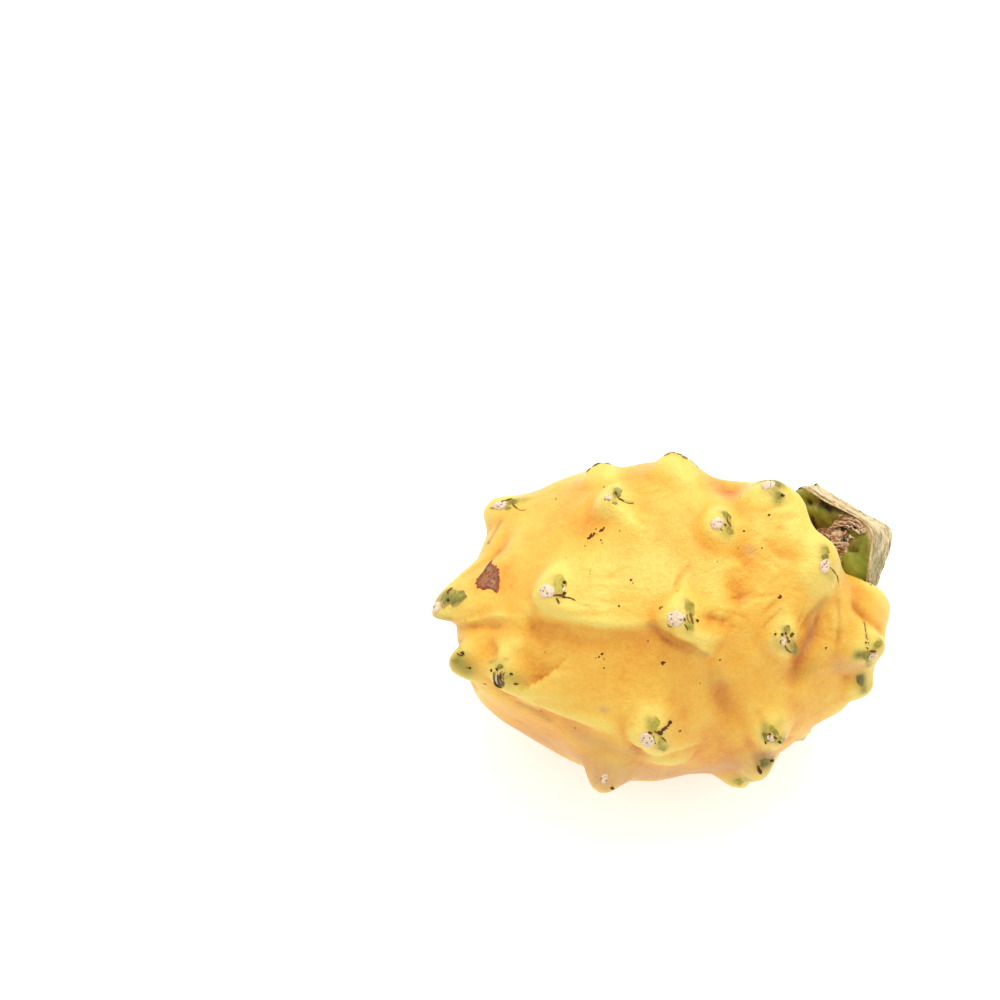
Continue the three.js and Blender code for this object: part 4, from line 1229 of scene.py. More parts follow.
def mesh_object(name, points, faces, fields=None):
    """A mesh in metres, with numbers at its points that its material reads."""
    mesh = bpy.data.meshes.new(name)
    mesh.from_pydata(np.asarray(points).tolist(), [], [list(map(int, face)) for face in faces])
    for field, values in (fields or {}).items():
        attribute = mesh.attributes.new(field, "FLOAT", "POINT")
        attribute.data.foreach_set("value", np.asarray(values, np.float32))
    mesh.polygons.foreach_set("use_smooth", [True] * len(mesh.polygons))
    mesh.update()
    obj = bpy.data.objects.new(name, mesh)
    bpy.context.scene.collection.objects.link(obj)
    return obj


def closed_object(name, points, faces, fields):
    """The same for a closed skin, with its faces turned outwards."""
    obj = mesh_object(name, points, faces, fields)
    shape = bmesh.new()
    shape.from_mesh(obj.data)
    bmesh.ops.recalc_face_normals(shape, faces=shape.faces)
    shape.to_mesh(obj.data)
    shape.free()
    return obj


def finish_piece(obj, material, slot, *nodes):
    """Gives a piece its material and its place on the fruit's one body; its slot is not used."""
    obj.data.materials.append(material)
    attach(obj, "root")
    if nodes:
        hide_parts(*nodes)


# ------------------------------------------------------------ materials


class Paint:
    """A material's node tree, built with short calls."""

    def __init__(self, name):
        self.material = bpy.data.materials.new(name)
        self.material.use_nodes = True
        self.tree = self.material.node_tree
        self.shader = self.tree.nodes["Principled BSDF"]
        coordinates = self.tree.nodes.new("ShaderNodeTexCoord")
        self.place = coordinates.outputs["Object"]

    def node(self, kind, **inputs):
        made = self.tree.nodes.new(kind)
        for name, value in inputs.items():
            self.feed(made.inputs[name.replace("_", " ")], value)
        return made

    def feed(self, socket, value):
        if isinstance(value, bpy.types.NodeSocket):
            self.tree.links.new(value, socket)
        else:
            socket.default_value = value

    def field(self, name):
        made = self.tree.nodes.new("ShaderNodeAttribute")
        made.attribute_name = name
        return made.outputs["Fac"]

    def math(self, operation, a, b=0.0, c=0.0, clamp=False):
        made = self.tree.nodes.new("ShaderNodeMath")
        made.operation = operation
        made.use_clamp = clamp
        for socket, value in zip(made.inputs, (a, b, c)):
            self.feed(socket, value)
        return made.outputs[0]

    def add(self, *values):
        total = values[0]
        for value in values[1:]:
            total = self.math("ADD", total, value)
        return total

    def times(self, *values):
        total = values[0]
        for value in values[1:]:
            total = self.math("MULTIPLY", total, value)
        return total

    def between(self, value, low, high):
        """0 below low and 1 above high, or the reverse where low is the higher one."""
        made = self.tree.nodes.new("ShaderNodeMapRange")
        made.interpolation_type = "SMOOTHSTEP"
        flipped = low > high
        ends = (high, low) if flipped else (low, high)
        for socket, number in (("From Min", ends[0]), ("From Max", ends[1])):
            made.inputs[socket].default_value = number
        made.inputs["To Min"].default_value = 1.0 if flipped else 0.0
        made.inputs["To Max"].default_value = 0.0 if flipped else 1.0
        self.feed(made.inputs["Value"], value)
        return made.outputs["Result"]

    def noise(self, size, detail=3.0, roughness=0.55, distortion=0.0, stretch=None):
        """Noise of about 0 to 1 whose lumps are size millimetres."""
        place = self.place
        if stretch is not None:
            place = self.node("ShaderNodeMapping", Vector=self.place, Scale=stretch).outputs[0]
        made = self.node("ShaderNodeTexNoise", Vector=place, Scale=1 / (size * MM),
                         Detail=detail, Roughness=roughness, Distortion=distortion)
        return made.outputs["Fac"]

    def cells(self, size, output="Distance"):
        """Cells that are size millimetres across."""
        made = self.node("ShaderNodeTexVoronoi", Vector=self.place, Scale=1 / (size * MM))
        return made.outputs[output]

    def ramp(self, value, *stops):
        made = self.tree.nodes.new("ShaderNodeValToRGB")
        elements = made.color_ramp.elements
        while len(elements) < len(stops):
            elements.new(0.5)
        for element, (place, colour) in zip(elements, stops):
            element.position = place
            element.color = (*colour, 1)
        self.feed(made.inputs["Fac"], value)
        return made.outputs["Color"]

    def seen(self, value, *stops):
        """A ramp through colours as they look, each a place and its red, green and blue."""
        return self.ramp(value, *((place, lit(*colour)) for place, *colour in stops))

    def off_middle(self, noise):
        return self.math("SUBTRACT", noise, 0.5)

    def stain(self, colour, field, stained, ragged, raggedness):
        """Lays another colour on where a field is strong, with a ragged edge."""
        strength = self.field(field)
        edge = self.times(strength, raggedness)
        share = self.math("MULTIPLY_ADD", ragged, edge, strength, clamp=True)
        return self.mix(share, colour, stained)

    def mix(self, share, a, b):
        made = self.tree.nodes.new("ShaderNodeMix")
        made.data_type = "RGBA"
        made.clamp_factor = True
        for name, value in (("Factor", share), ("A", a), ("B", b)):
            socket = next(s for s in made.inputs if s.name == name and s.enabled)
            self.feed(socket, (*value, 1) if isinstance(value, tuple) else value)
        return next(s for s in made.outputs if s.enabled)

    def bump(self, *layers):
        """Small relief: each layer is a height and how many millimetres 1 of it stands for."""
        normal = None
        for height, depth in layers:
            made = self.node("ShaderNodeBump", Height=height, Strength=1.0, Distance=depth * MM)
            if normal is not None:
                self.feed(made.inputs["Normal"], normal)
            normal = made.outputs["Normal"]
        self.feed(self.shader.inputs["Normal"], normal)

    def surface(self, colour, roughness, soft=None, **constants):
        """The material, soft where light passes in: how much of it, its spread and its reach."""
        self.feed(self.shader.inputs["Base Color"], colour)
        self.feed(self.shader.inputs["Roughness"], roughness)
        if soft is not None:
            weight, spread, reach = soft
            constants.update(Subsurface_Weight=weight, Subsurface_Radius=spread,
                             Subsurface_Scale=reach * MM)
        for name, value in constants.items():
            self.shader.inputs[name.replace("_", " ")].default_value = value
        return self.material


def srgb(red, green, blue):
    """A colour given as it looks, from 0 to 255, as the shader's own numbers."""
    def linear(value):
        share = value / 255
        return share / 12.92 if share <= 0.04045 else ((share + 0.055) / 1.055) ** 2.4
    return tuple(linear(value) for value in (red, green, blue))


def lit(red, green, blue):
    """The colour of a surface that looks like this in the scene's light."""
    return tuple(value / BRIGHTNESS for value in srgb(red, green, blue))


def rind_material():
    paint = Paint("rind")
    clouds = paint.noise(16, detail=2)
    mottle = paint.noise(3.2, detail=4, roughness=0.6)
    grains = paint.noise(0.9, detail=3, roughness=0.6)
    # The fold fields and standing paint shade into creases and light onto ridges; pale paints
    # highlights.
    parts = [paint.times(paint.field(name), share) for name, share in RIND_TONE["fields"]]
    for noise, share in zip((clouds, mottle, grains), RIND_TONE["noises"]):
        parts.append(paint.times(paint.off_middle(noise), share))
    tone = paint.add(RIND_TONE["base"], *parts)
    colour = paint.seen(tone, (0.0, 204, 118, 22), (0.22, 238, 156, 38), (0.45, 250, 184, 58),
                        (0.68, 254, 203, 80), (0.95, 255, 222, 104))
    near_tip = paint.add(paint.field("tip_away"), paint.times(mottle, 2.0))
    stem_side = paint.between(paint.field("tip_stemward"), -1.0, 3.5)
    olive = paint.times(paint.between(near_tip, 5.6, 2.4), stem_side, 0.35)
    colour = paint.mix(olive, colour, lit(204, 156, 48))
    ragged = paint.off_middle(mottle)
    # Pink paints the floor's bounce light on the underside; brown is partly painted shadow in
    # creases.
    for name, stained in (("pink_and_bounce_light", lit(226, 170, 108)), ("green", lit(132, 126, 32)),
                          ("brown", lit(150, 88, 28))):
        colour = paint.stain(colour, name, stained, ragged, 1.4)
    dots = paint.between(paint.cells(2.6), 0.10, 0.05)
    chosen = paint.between(paint.cells(2.6, "Color"), 0.78, 0.8)
    colour = paint.mix(paint.times(dots, chosen), colour, lit(150, 92, 40))
    roughness = paint.math("MULTIPLY_ADD", mottle, 0.16, 0.4)
    paint.bump((paint.noise(1.6, detail=4, roughness=0.62), 0.24), (paint.cells(0.55), 0.07),
               (mottle, 0.4))
    return paint.surface(colour, roughness, (0.12, (1.0, 0.45, 0.12), 2.0), Specular_IOR_Level=0.4)


# ------------------------------------------------------------ the rind


def neighbour_mean(values, edges, count):
    total = np.zeros_like(values)
    for k in range(values.shape[1]):
        total[:, k] = np.bincount(edges[:, 0], values[edges[:, 1], k], len(values))
        total[:, k] += np.bincount(edges[:, 1], values[edges[:, 0], k], len(values))
    return total / count[:, None]


def folding(points, faces, normals, rounds):
    """How far points stand out from the mean of what is round them, in millimetres."""
    edges = np.concatenate([faces[:, [0, 1]], faces[:, [1, 2]], faces[:, [2, 0]]])
    edges = np.unique(np.sort(edges, axis=1), axis=0)
    count = np.bincount(edges.ravel(), minlength=len(points)).astype(float)
    found = []
    mean = points.copy()
    for k in range(1, max(rounds) + 1):
        mean = 0.5 * mean + 0.5 * neighbour_mean(mean, edges, count)
        if k in rounds:
            found.append(np.einsum("ij,ij->i", points - mean, normals))
    return found


def mesh_normals(points, faces):
    a, b, c = (points[faces[:, k]] for k in range(3))
    flat = np.cross(b - a, c - a)
    normals = np.zeros_like(points)
    for k in range(3):
        for axis in range(3):
            normals[:, axis] += np.bincount(faces[:, k], flat[:, axis], len(points))
    return unit(normals)


def from_nearest_tip(points):
    """How far points of the plain body are from the nearest tubercle's foot, and how stemward."""
    away = np.full(len(points), TIP_REACH)
    stemward = np.zeros(len(points))
    for tubercle in ALL_TUBERCLES:
        offset = points - tubercle.foot
        apart = np.linalg.norm(offset, axis=1)
        closer = apart < away
        away = np.where(closer, apart, away)
        stemward = np.where(closer, -offset @ tubercle.to_blossom, stemward)
    return away, stemward


def make_rind():
    """The rind that replaces the CAD's, with the fields that colour it."""
    directions, faces = geodesic(SKIN_DETAIL)
    points, standing = rind_at(directions)
    points = pressed_by_wedge(points)
    normals = mesh_normals(points, faces)
    scale = (SKIN_DETAIL / FULL_DETAIL) ** 2
    rounds = [max(int(count * scale), least) for least, count in enumerate(FOLD_ROUNDS, 1)]
    # How far the rind stands out, for the painted light on ridges and painted shade in creases.
    fine, broad = folding(points, faces, normals, rounds)
    fine = np.clip(fine, -FOLD_LIMIT, RIDGE_SHARE * FOLD_LIMIT)
    away, stemward = from_nearest_tip(body_at(directions)[0])
    fitting = Fitting(points, "fruit", (SKIN_INSET, SKIN_INSET, 0), (0, SKIN_INSET, SKIN_INSET))
    rind_net = Net(directions, faces, points, normals, fitting)
    fields = dict(standing=standing, fold=fine, broad_fold=broad, tip_away=away,
                  tip_stemward=stemward)
    for name, patches in STAINS.items():
        fields[name] = stained(rind_net.shown / MM, patches, rind_net.sight)
    # Faces turned down get the pink of painted bounce light from the floor.
    under = smooth(*UNDERSIDE["turned_down"], -normals[:, 2])
    fields["pink_and_bounce_light"] = np.maximum(fields["pink_and_bounce_light"], UNDERSIDE["pink_and_bounce_light"] * under)
    rind = mesh_object("fruit_skin", rind_net.shown, faces, fields)
    finish_piece(rind, rind_material(), "rind", "fruit")
    return rind_net


net = make_rind()
on_fruit = net.fitting

# ------------------------------------------------------------ areoles, scales and dried bits


def areole_material():
    paint = Paint("areole")
    grain = paint.noise(0.7, detail=4, roughness=0.7)
    colour = paint.seen(grain, (0.28, 190, 138, 100), (0.42, 240, 208, 170), (0.58, 252, 230, 200))
    worn = paint.between(paint.add(paint.field("edge"), paint.times(grain, 0.35)), 0.98, 1.2)
    colour = paint.mix(paint.times(worn, 0.8), colour, lit(170, 128, 78))
    colour = paint.mix(paint.between(paint.field("pit"), 0.4, 0.85), colour, lit(110, 72, 48))
    paint.bump((grain, 0.12), (paint.noise(0.25, detail=3), 0.05))
    return paint.surface(colour, 0.85, (0.1, (1, 0.6, 0.4), 0.5))


def scale_material():
    paint = Paint("scale")
    grain = paint.noise(0.8, detail=4, roughness=0.65)
    clouds = paint.noise(2.0, detail=3)
    tone = paint.add(clouds, paint.times(paint.field("dark"), -0.62), 0.18)
    colour = paint.seen(tone, (0.0, 84, 70, 18), (0.2, 116, 106, 26), (0.42, 150, 140, 34),
                        (0.66, 200, 180, 54))
    ends = paint.between(paint.math("ABSOLUTE", paint.field("along")), 0.35, 1.0)
    colour = paint.mix(paint.times(ends, 0.85), colour, lit(232, 188, 78))
    sides = paint.add(paint.math("ABSOLUTE", paint.field("across")), paint.times(grain, 0.3))
    sides = paint.times(paint.between(sides, 0.75, 1.15), 0.7)
    colour = paint.mix(sides, colour, lit(208, 166, 64))
    rim = paint.between(paint.add(paint.field("across"), paint.times(grain, 0.6)), 0.95, 1.2)
    colour = paint.mix(paint.times(rim, paint.field("dark")), colour, lit(104, 66, 36))
    paint.bump((grain, 0.1), (paint.noise(0.5, detail=2, stretch=(0.25, 1, 1)), 0.06))
    return paint.surface(colour, 0.6, (0.12, (0.6, 1, 0.2), 0.6))


def dry_material():
    paint = Paint("dried")
    grain = paint.noise(0.5, detail=4, roughness=0.7)
    tone = paint.add(paint.times(grain, 0.35), paint.times(paint.field("paleness"), 0.8), -0.05)
    colour = paint.seen(tone, (0.05, 70, 42, 22), (0.3, 120, 78, 40), (0.6, 184, 138, 86),
                        (0.9, 254, 240, 214))
    paint.bump((grain, 0.12))
    return paint.surface(colour, 0.85, Specular_IOR_Level=0.15)


def bezier(start, bend, end, share):
    share = share[..., None]
    return start * (1 - share) ** 2 + 2 * bend * share * (1 - share) + end * share ** 2


def add_pad(pile, tubercle, middle, sizes, random):
    """The woody pad of an areole: a crumbly disc with a few pits."""
    x, y = round_net(PAD["net"])
    away, angle = np.hypot(x, y), np.arctan2(y, x)
    phases = random.uniform(0, 6), 0, random.uniform(0, 6)
    lobes = sum((share * np.cos(count * angle + phase)
                 for (count, share), phase in zip(PAD_LOBES, phases)), 1)
    level = tubercle.beside(middle[0] + x * sizes[0] * lobes, middle[1] + y * sizes[1] * lobes)
    points, normals = net.at(level)
    pit = np.zeros_like(x)
    for _ in range(random.integers(*PITS["count"])):
        turn, out = random.uniform(0, 2 * math.pi), random.uniform(*PITS["out"])
        beside = np.hypot(x - out * math.cos(turn), y - out * math.sin(turn))
        pit = np.maximum(pit, bell(beside / PITS["radius"]))
    dome = (1 - away ** PAD["wall"]) * (1 - PAD["slope"] * away ** 2)
    edge = away ** PAD["edge_wall"]
    lift = PAD["height"] * min(*sizes, PAD["full_from"]) / PAD["full_from"] * dome
    lift += PAD["crumbs"] * rough(points, *ROUGH["pad"]) * (1 - edge)
    lift -= PITS["depth"] * pit + PAD["edge_drop"] * edge
    pile.crust(points, normals, lift, PAD["sunk"], pit=pit, edge=away)


def add_scale(pile, tubercle, stops, half_width, dark, random):
    """A narrow leaf-like scale whose edges run into the rind."""
    along, across = square_net(*SCALE_NET)
    share = (along + 1) / 2
    start, middle, end = (np.asarray(stop, float) for stop in stops)
    bend = 2 * middle - (start + end) / 2
    line = bezier(start, bend, end, share)
    step = 0.01
    ahead = unit(bezier(start, bend, end, share + step) - bezier(start, bend, end, share - step))
    aside = np.stack([-ahead[..., 1], ahead[..., 0]], -1)
    waves = np.sin(share * SCALE["ragged_turns"] + random.uniform(0, 6))
    ragged = 1 + SCALE["ragged"] * waves * np.abs(across)
    fullness = np.sin(math.pi * share ** SCALE["fullest"]) ** SCALE["fullness"]
    width = half_width * ragged * (fullness + SCALE["ends"])
    flat = line + aside * (across * width)[..., None]
    points, normals = net.at(tubercle.beside(flat[..., 0], flat[..., 1]))
    crown = np.sqrt(np.maximum(1 - across ** 2, 0)) * np.sin(math.pi * share) ** SCALE["crown"]
    height = SCALE["height"] * min(half_width, 1.0)
    lift = height * crown + SCALE["curl"] * height * smooth(*SCALE["curled"], across) * crown
    lift += SCALE["lumps"] * rough(points, *ROUGH["scale"]) * crown - SCALE["edge_drop"]
    pile.crust(points, normals, lift, SCALE["sunk"], along=along, across=across, dark=dark)


def add_bit(pile, place, stops, radius, paleness, random):
    """A dried bit lying on the rind, between two steps from a place."""
    steps = np.linspace(0, 1, BIT_STEPS)[:, None]
    start, end = (np.asarray(stop, float) for stop in stops)
    aside = np.array([start[1] - end[1], end[0] - start[0]])
    bow = random.uniform(-BIT["bow"], BIT["bow"]) * np.sin(math.pi * steps)
    flat = start + (end - start) * steps + aside * bow
    points, normals = net.at(place.beside(flat[:, 0], flat[:, 1]))
    radii = BIT["thickness"] * radius * thickness(BIT_STEPS, BIT_ENDS)
    radii = radii * random.uniform(*BIT["uneven"], BIT_STEPS)
    lift = radius * BIT["lift"] + random.uniform(0, BIT["rising"]) * radius * steps[:, 0]
    pile.tube(points + normals * lift[:, None], radii, BIT["flatness"], paleness=paleness)


def seen_steps(place, pixels):
    return [place.steps_to(net.seen_at(pixel)) for pixel in pixels]


def add_seen_tip(piles, tubercle, look, random):
    """A tip as the photograph shows it."""
    pads, scales, bits = piles
    if look["pad"] is not None:
        pixel, *sizes = look["pad"]
        add_pad(pads, tubercle, seen_steps(tubercle, [pixel])[0], sizes, random)
    for *pixels, half_width, dark in look["scales"]:
        add_scale(scales, tubercle, seen_steps(tubercle, pixels), half_width, dark, random)
    for *pixels, radius, paleness in look["bits"]:
        add_bit(bits, tubercle, seen_steps(tubercle, pixels), radius, paleness, random)


def add_usual_tip(piles, tubercle, random):
    """A tip of the sides that the photograph doesn't show, much like the others."""
    pads, scales, bits = piles
    size = PAD["radius"] * random.uniform(*USUAL["pad"])
    add_pad(pads, tubercle, (0, 0), (size, size * random.uniform(*USUAL["pad_length"])), random)
    stops = [np.array(SCALE[key]) + random.normal(0, USUAL["astray"], 2)
             for key in ("start", "bend", "end")]
    half_width = SCALE["width"] * random.uniform(*USUAL["scale"])
    add_scale(scales, tubercle, stops, half_width, SCALE["dark"] * random.uniform(*USUAL["dark"]),
              random)
    for _ in range(random.integers(*BITS["count"])):
        start = np.array([random.uniform(*BITS["stemward"]), random.uniform(*BITS["topward"])])
        turn = random.uniform(-math.pi, math.pi)
        ahead = np.array([math.cos(turn), math.sin(turn)]) * random.uniform(*BITS["length"])
        radius, paleness = random.uniform(*BITS["radius"]), random.choice(BITS["paleness"])
        add_bit(bits, tubercle, (start, start + ahead), radius, paleness, random)


def make_tips():
    """What stands in the tips of the tubercles."""
    random = np.random.default_rng(DETAIL_SEED)
    piles = pads, scales, bits = Pile(), Pile(), Pile()
    for tubercle in ALL_TUBERCLES:
        if tubercle.name in LOOKS:
            add_seen_tip(piles, tubercle, LOOKS[tubercle.name], random)
        else:
            add_usual_tip(piles, tubercle, random)
    finish_piece(pads.piece("areoles", on_fruit), areole_material(), "areole")
    finish_piece(scales.piece("scales", on_fruit), scale_material(), "bract")
    finish_piece(bits.piece("dried_bits", on_fruit), dry_material(), "dry_flower")


# ------------------------------------------------------------ specks and the scrape


def make_specks():
    random = np.random.default_rng(DETAIL_SEED + 1)
    pile = Pile()
    for column, row, radius in SPECKS:
        place = net.seen_at((column, row))
        x, y = round_net(SPECK["net"])
        angle = np.arctan2(y, x)
        phases = random.uniform(0, 2 * math.pi, len(SPECK["lobes"]))
        waves = zip(SPECK["lobes"], phases)
        lobes = 1 + sum(SPECK["lobe"] * np.cos(count * angle + phase) for count, phase in waves)
        points, normals = net.at(place.beside(x * radius * lobes, y * radius * lobes))
        away = np.hypot(x, y)
        dome = 1 - SPECK["slope"] * away ** SPECK["wall"]
        lift = SPECK["height"] * dome * min(radius / SPECK["full_from"], 1)
        paleness = random.uniform(*SPECK["paleness"])
        pile.crust(points, normals, lift, SPECK["sunk"], paleness=paleness)
    finish_piece(pile.piece("specks", on_fruit), dry_material(), "dry_flower")


def scrape_material():
    paint = Paint("scrape")
    grain = paint.noise(0.9, detail=5, roughness=0.7)
    centre = paint.seen(grain, (0.28, 84, 34, 16), (0.42, 140, 74, 38), (0.55, 180, 112, 66),
                        (0.75, 216, 160, 108))
    grey = paint.seen(grain, (0.3, 120, 92, 62), (0.7, 200, 172, 130))
    centre = paint.mix(paint.between(paint.noise(2.4, detail=2), 0.55, 0.68), centre, grey)
    rim = paint.seen(grain, (0.3, 112, 40, 14), (0.7, 176, 84, 34))
    ragged = paint.add(paint.field("edge"), paint.times(grain, 0.5))
    colour = paint.mix(paint.between(ragged, 0.85, 1.1), centre, rim)
    colour = paint.mix(paint.between(ragged, 1.2, 1.32), colour, lit(232, 150, 60))
    paint.bump((grain, 0.2))
    return paint.surface(colour, 0.65)


def make_scrape():
    """A healed scrape: a dark raised rim round a crust."""
    place = net.seen_at(SCRAPE_AT)
    outline = np.array(seen_steps(place, SCRAPE_OUTLINE))
    outline = catmull([*outline, *outline[:2]], SCRAPE["steps"])[:-SCRAPE["steps"]]
    angle_of = np.arctan2(outline[:, 1], outline[:, 0])
    reach_of = np.hypot(outline[:, 0], outline[:, 1])
    order = np.argsort(angle_of)
    x, y = round_net(SCRAPE["net"])
    away, angle = np.hypot(x, y), np.arctan2(y, x)
    reach = np.interp(angle, angle_of[order], reach_of[order], period=2 * math.pi)
    reach = reach * sum((share * np.sin(count * angle + phase)
                         for count, share, phase in SCRAPE_WAVES), 1)
    points, normals = net.at(place.beside(x * reach, y * reach))
    rim = bell((away - SCRAPE["rim_at"]) / SCRAPE["rim_width"])
    crust = rough(points, *ROUGH["scrape"]) * (1 - smooth(*SCRAPE["crust_ends"], away))
    floor = bell(away / SCRAPE["floor_width"])
    lift = SCRAPE["rim"] * rim + SCRAPE["floor"] * floor + SCRAPE["crust"] * crust
    lift = np.maximum(lift, SCRAPE["least"])
    lift = lift - SCRAPE["edge_drop"] * smooth(*SCRAPE["edge"], away)
    pile = Pile()
    pile.crust(points, normals, lift, SCRAPE["sunk"], edge=away)
    finish_piece(pile.piece("scrape", on_fruit), scrape_material(), "dry_flower")


make_tips()
make_specks()
make_scrape()

# ------------------------------------------------------------ the stem


def stem_skin_material():
    paint = Paint("stem_skin")
    clouds = paint.noise(5, detail=3)
    grain = paint.noise(1.1, detail=4, roughness=0.65)
    # The fold field paints shade into the stem's creases and light onto its ridges.
    tone = paint.add(paint.times(clouds, 0.7), paint.times(grain, 0.35),
                     paint.times(paint.field("bright"), 0.3),
                     paint.times(paint.field("fold"), 0.25), 0.06)
    colour = paint.seen(tone, (0.2, 70, 76, 18), (0.42, 108, 116, 32), (0.6, 132, 140, 44),
                        (0.85, 160, 164, 62))
    corky = paint.between(paint.add(paint.field("rim"), paint.times(grain, 0.35)), 1.02, 1.22)
    bark = paint.seen(grain, (0.3, 150, 110, 60), (0.5, 204, 166, 112), (0.7, 238, 208, 160))
    colour = paint.mix(corky, colour, bark)
    crumbs = paint.seen(paint.noise(0.7, detail=4, roughness=0.75), (0.35, 96, 76, 30),
                        (0.5, 150, 134, 70), (0.65, 196, 176, 116))
    ragged = paint.off_middle(grain)
    # Dark is mostly painted shade, in the crevice, hollows and holes.
    for name, stained in (("rough", crumbs), ("tan", bark), ("dark", lit(40, 26, 12)),
                          ("brown", lit(112, 66, 28))):
        colour = paint.stain(colour, name, stained, ragged, 1.6)
    paint.bump((grain, 0.14), (paint.noise(0.4, detail=3), 0.05))
    return paint.surface(colour, 0.6, (0.08, (0.5, 1, 0.2), 0.8), Specular_IOR_Level=0.25)


def stem_cut_material():
    paint = Paint("stem_cut")
    fibres = paint.noise(0.9, detail=5, roughness=0.7, stretch=(1, 0.22, 1))
    clouds = paint.noise(3.5, detail=3)
    colour = paint.seen(fibres, (0.3, 150, 104, 58), (0.42, 222, 190, 134), (0.6, 246, 228, 182))
    weathered = paint.seen(fibres, (0.3, 108, 90, 50), (0.5, 176, 160, 108), (0.66, 220, 206, 160))
    grey = paint.between(paint.add(clouds, paint.times(paint.field("grey"), 0.5)), 0.62, 0.82)
    colour = paint.mix(grey, colour, weathered)
    colour = paint.mix(paint.field("dark"), colour, lit(70, 42, 22))
    paint.bump((fibres, 0.3), (paint.noise(0.4, detail=3), 0.08))
    return paint.surface(colour, 0.85)


def cork_material():
    paint = Paint("cork")
    shreds = paint.noise(1.6, detail=5, roughness=0.7, distortion=0.6)
    crumbs = paint.noise(0.6, detail=3, roughness=0.7)
    # On the knot, fold paints shade into creases and light onto ridges; on the bits it sets their
    # tone.
    tone = paint.add(paint.times(shreds, 0.75), paint.times(crumbs, 0.35),
                     paint.times(paint.field("fold"), 0.4))
    colour = paint.seen(tone, (0.24, 64, 38, 20), (0.36, 140, 96, 60), (0.48, 208, 160, 120),
                        (0.66, 240, 210, 168))
    paint.bump((shreds, 0.4), (crumbs, 0.2))
    return paint.surface(colour, 0.9)


def as_triangles(faces):
    fans = [[face[0], face[k], face[k + 1]] for face in faces for k in range(1, len(face) - 1)]
    return np.array(fans)


def make_stem_skin():
    """The wedge: two green flanks, and a cut face that the stem_cut piece covers."""
    sections, across = STEM_NET
    share = np.linspace(0, 1, sections)[:, None]
    up = np.linspace(0, 1, across, endpoint=False)[None]
    down = 1 - up
    rings = np.concatenate([wedge.flank(share, up, "far"), wedge.face(share, up),
                            wedge.flank(share, down, "near")], 1)
    flat = np.zeros_like(up)
    rim = np.broadcast_to(np.concatenate([up, flat, down], 1), rings.shape[:2]).ravel()
    points = rings.reshape(-1, 3)
    faces = ring_faces(sections, 3 * across)
    triangles = as_triangles(faces)
    normals = mesh_normals(points, triangles)
    plain = to_frame(points)
    sight = Sight(net.sight.eye, plain * MM, triangles.tolist(), STEM_MIDDLE)
    sunk = sum(depth * stained(plain, patches, sight) for depth, patches in STEM_HOLLOWS)
    lift = sum(height * rough(points, size, seed) for height, size, seed in STEM_LUMPS) - sunk
    covered = np.minimum(1, UNDER_CRUST["rise"] * np.sin(math.pi * up))
    covered = np.broadcast_to(np.concatenate([flat, covered, flat], 1), rings.shape[:2]).ravel()
    lift = lift * (1 - covered) - CUT["sunk"] * UNDER_CRUST["depth"] * covered
    moved = points + normals * lift[:, None]
    fold, = folding(moved, triangles, mesh_normals(moved, triangles), [STEM_FOLD_ROUNDS])
    low, high = (STEM_PLAY,) * 3, (STEM_INSET, STEM_PLAY, STEM_INSET)
    fitting = Fitting(moved, "stem_piece", low, high)
    fields = dict(rim=rim, fold=fold)
    for name, patches in STEM_STAINS.items():
        fields[name] = stained(plain, patches, sight)
    skin = closed_object("stem_skin", fitting(moved), faces, fields)
    finish_piece(skin, stem_skin_material(), "stem_skin", "stem_piece")
    return fitting


def make_stem_cut(fitting):
    """The dried cut face, a thin crust with a ragged rim, and fibres along its edges."""
    random = np.random.default_rng(DETAIL_SEED + 2)
    rows, columns = CUT_NET
    share, across = square_net(rows, columns)
    share, across = (share * CUT["shrink"] + 1) / 2, (across + 1) / 2
    points = wedge.face(share, across)
    border = np.minimum(across, 1 - across) * 2
    lift = CUT["height"] * (1 - bell(border / CUT["rim"]))
    lift += CUT["crumbs"] * rough(points, *ROUGH["cut"])
    lift += CUT["web"] * rough(points * np.array(CUT["grain"]), *ROUGH["web"])
    top = points + wedge.out * lift[..., None]
    pile = Pile()
    weathered = smooth(*CUT["grey"], share + CUT["ragged"] * rough(points, *ROUGH["weather"]))
    pile.slab(top, points - wedge.out * CUT["sunk"], grey=weathered)
    count, slant = FIBRES["steps"], FIBRES["slant"]
    for rim in ("near", "far"):
        for _ in range(FIBRES[rim]):
            start = random.uniform(0.0, FIBRES["starts"])
            end = min(start + random.uniform(*FIBRES["length"]), FIBRES["ends"])
            inwards = random.uniform(0, FIBRES["spread"])
            inwards = inwards + random.uniform(-slant, slant) * np.linspace(-1, 1, count)
            up = 1 - inwards if rim == "near" else inwards
            line = wedge.face(np.linspace(start, end, count), np.clip(up, 0, 1))
            line = line + wedge.out * random.uniform(0.0, FIBRES["stands"])
            line = line + random.normal(0, FIBRES["wavy"], line.shape)
            radii = random.uniform(*FIBRES["radius"]) * thickness(count, FIBRE_ENDS)
            grey, dark = random.choice(FIBRES["grey"]), random.choice(FIBRES["dark"])
            pile.tube(line, radii, FIBRES["flatness"], grey=grey, dark=dark)
    finish_piece(pile.piece("stem_cut", fitting), stem_cut_material(), "stem_cut")


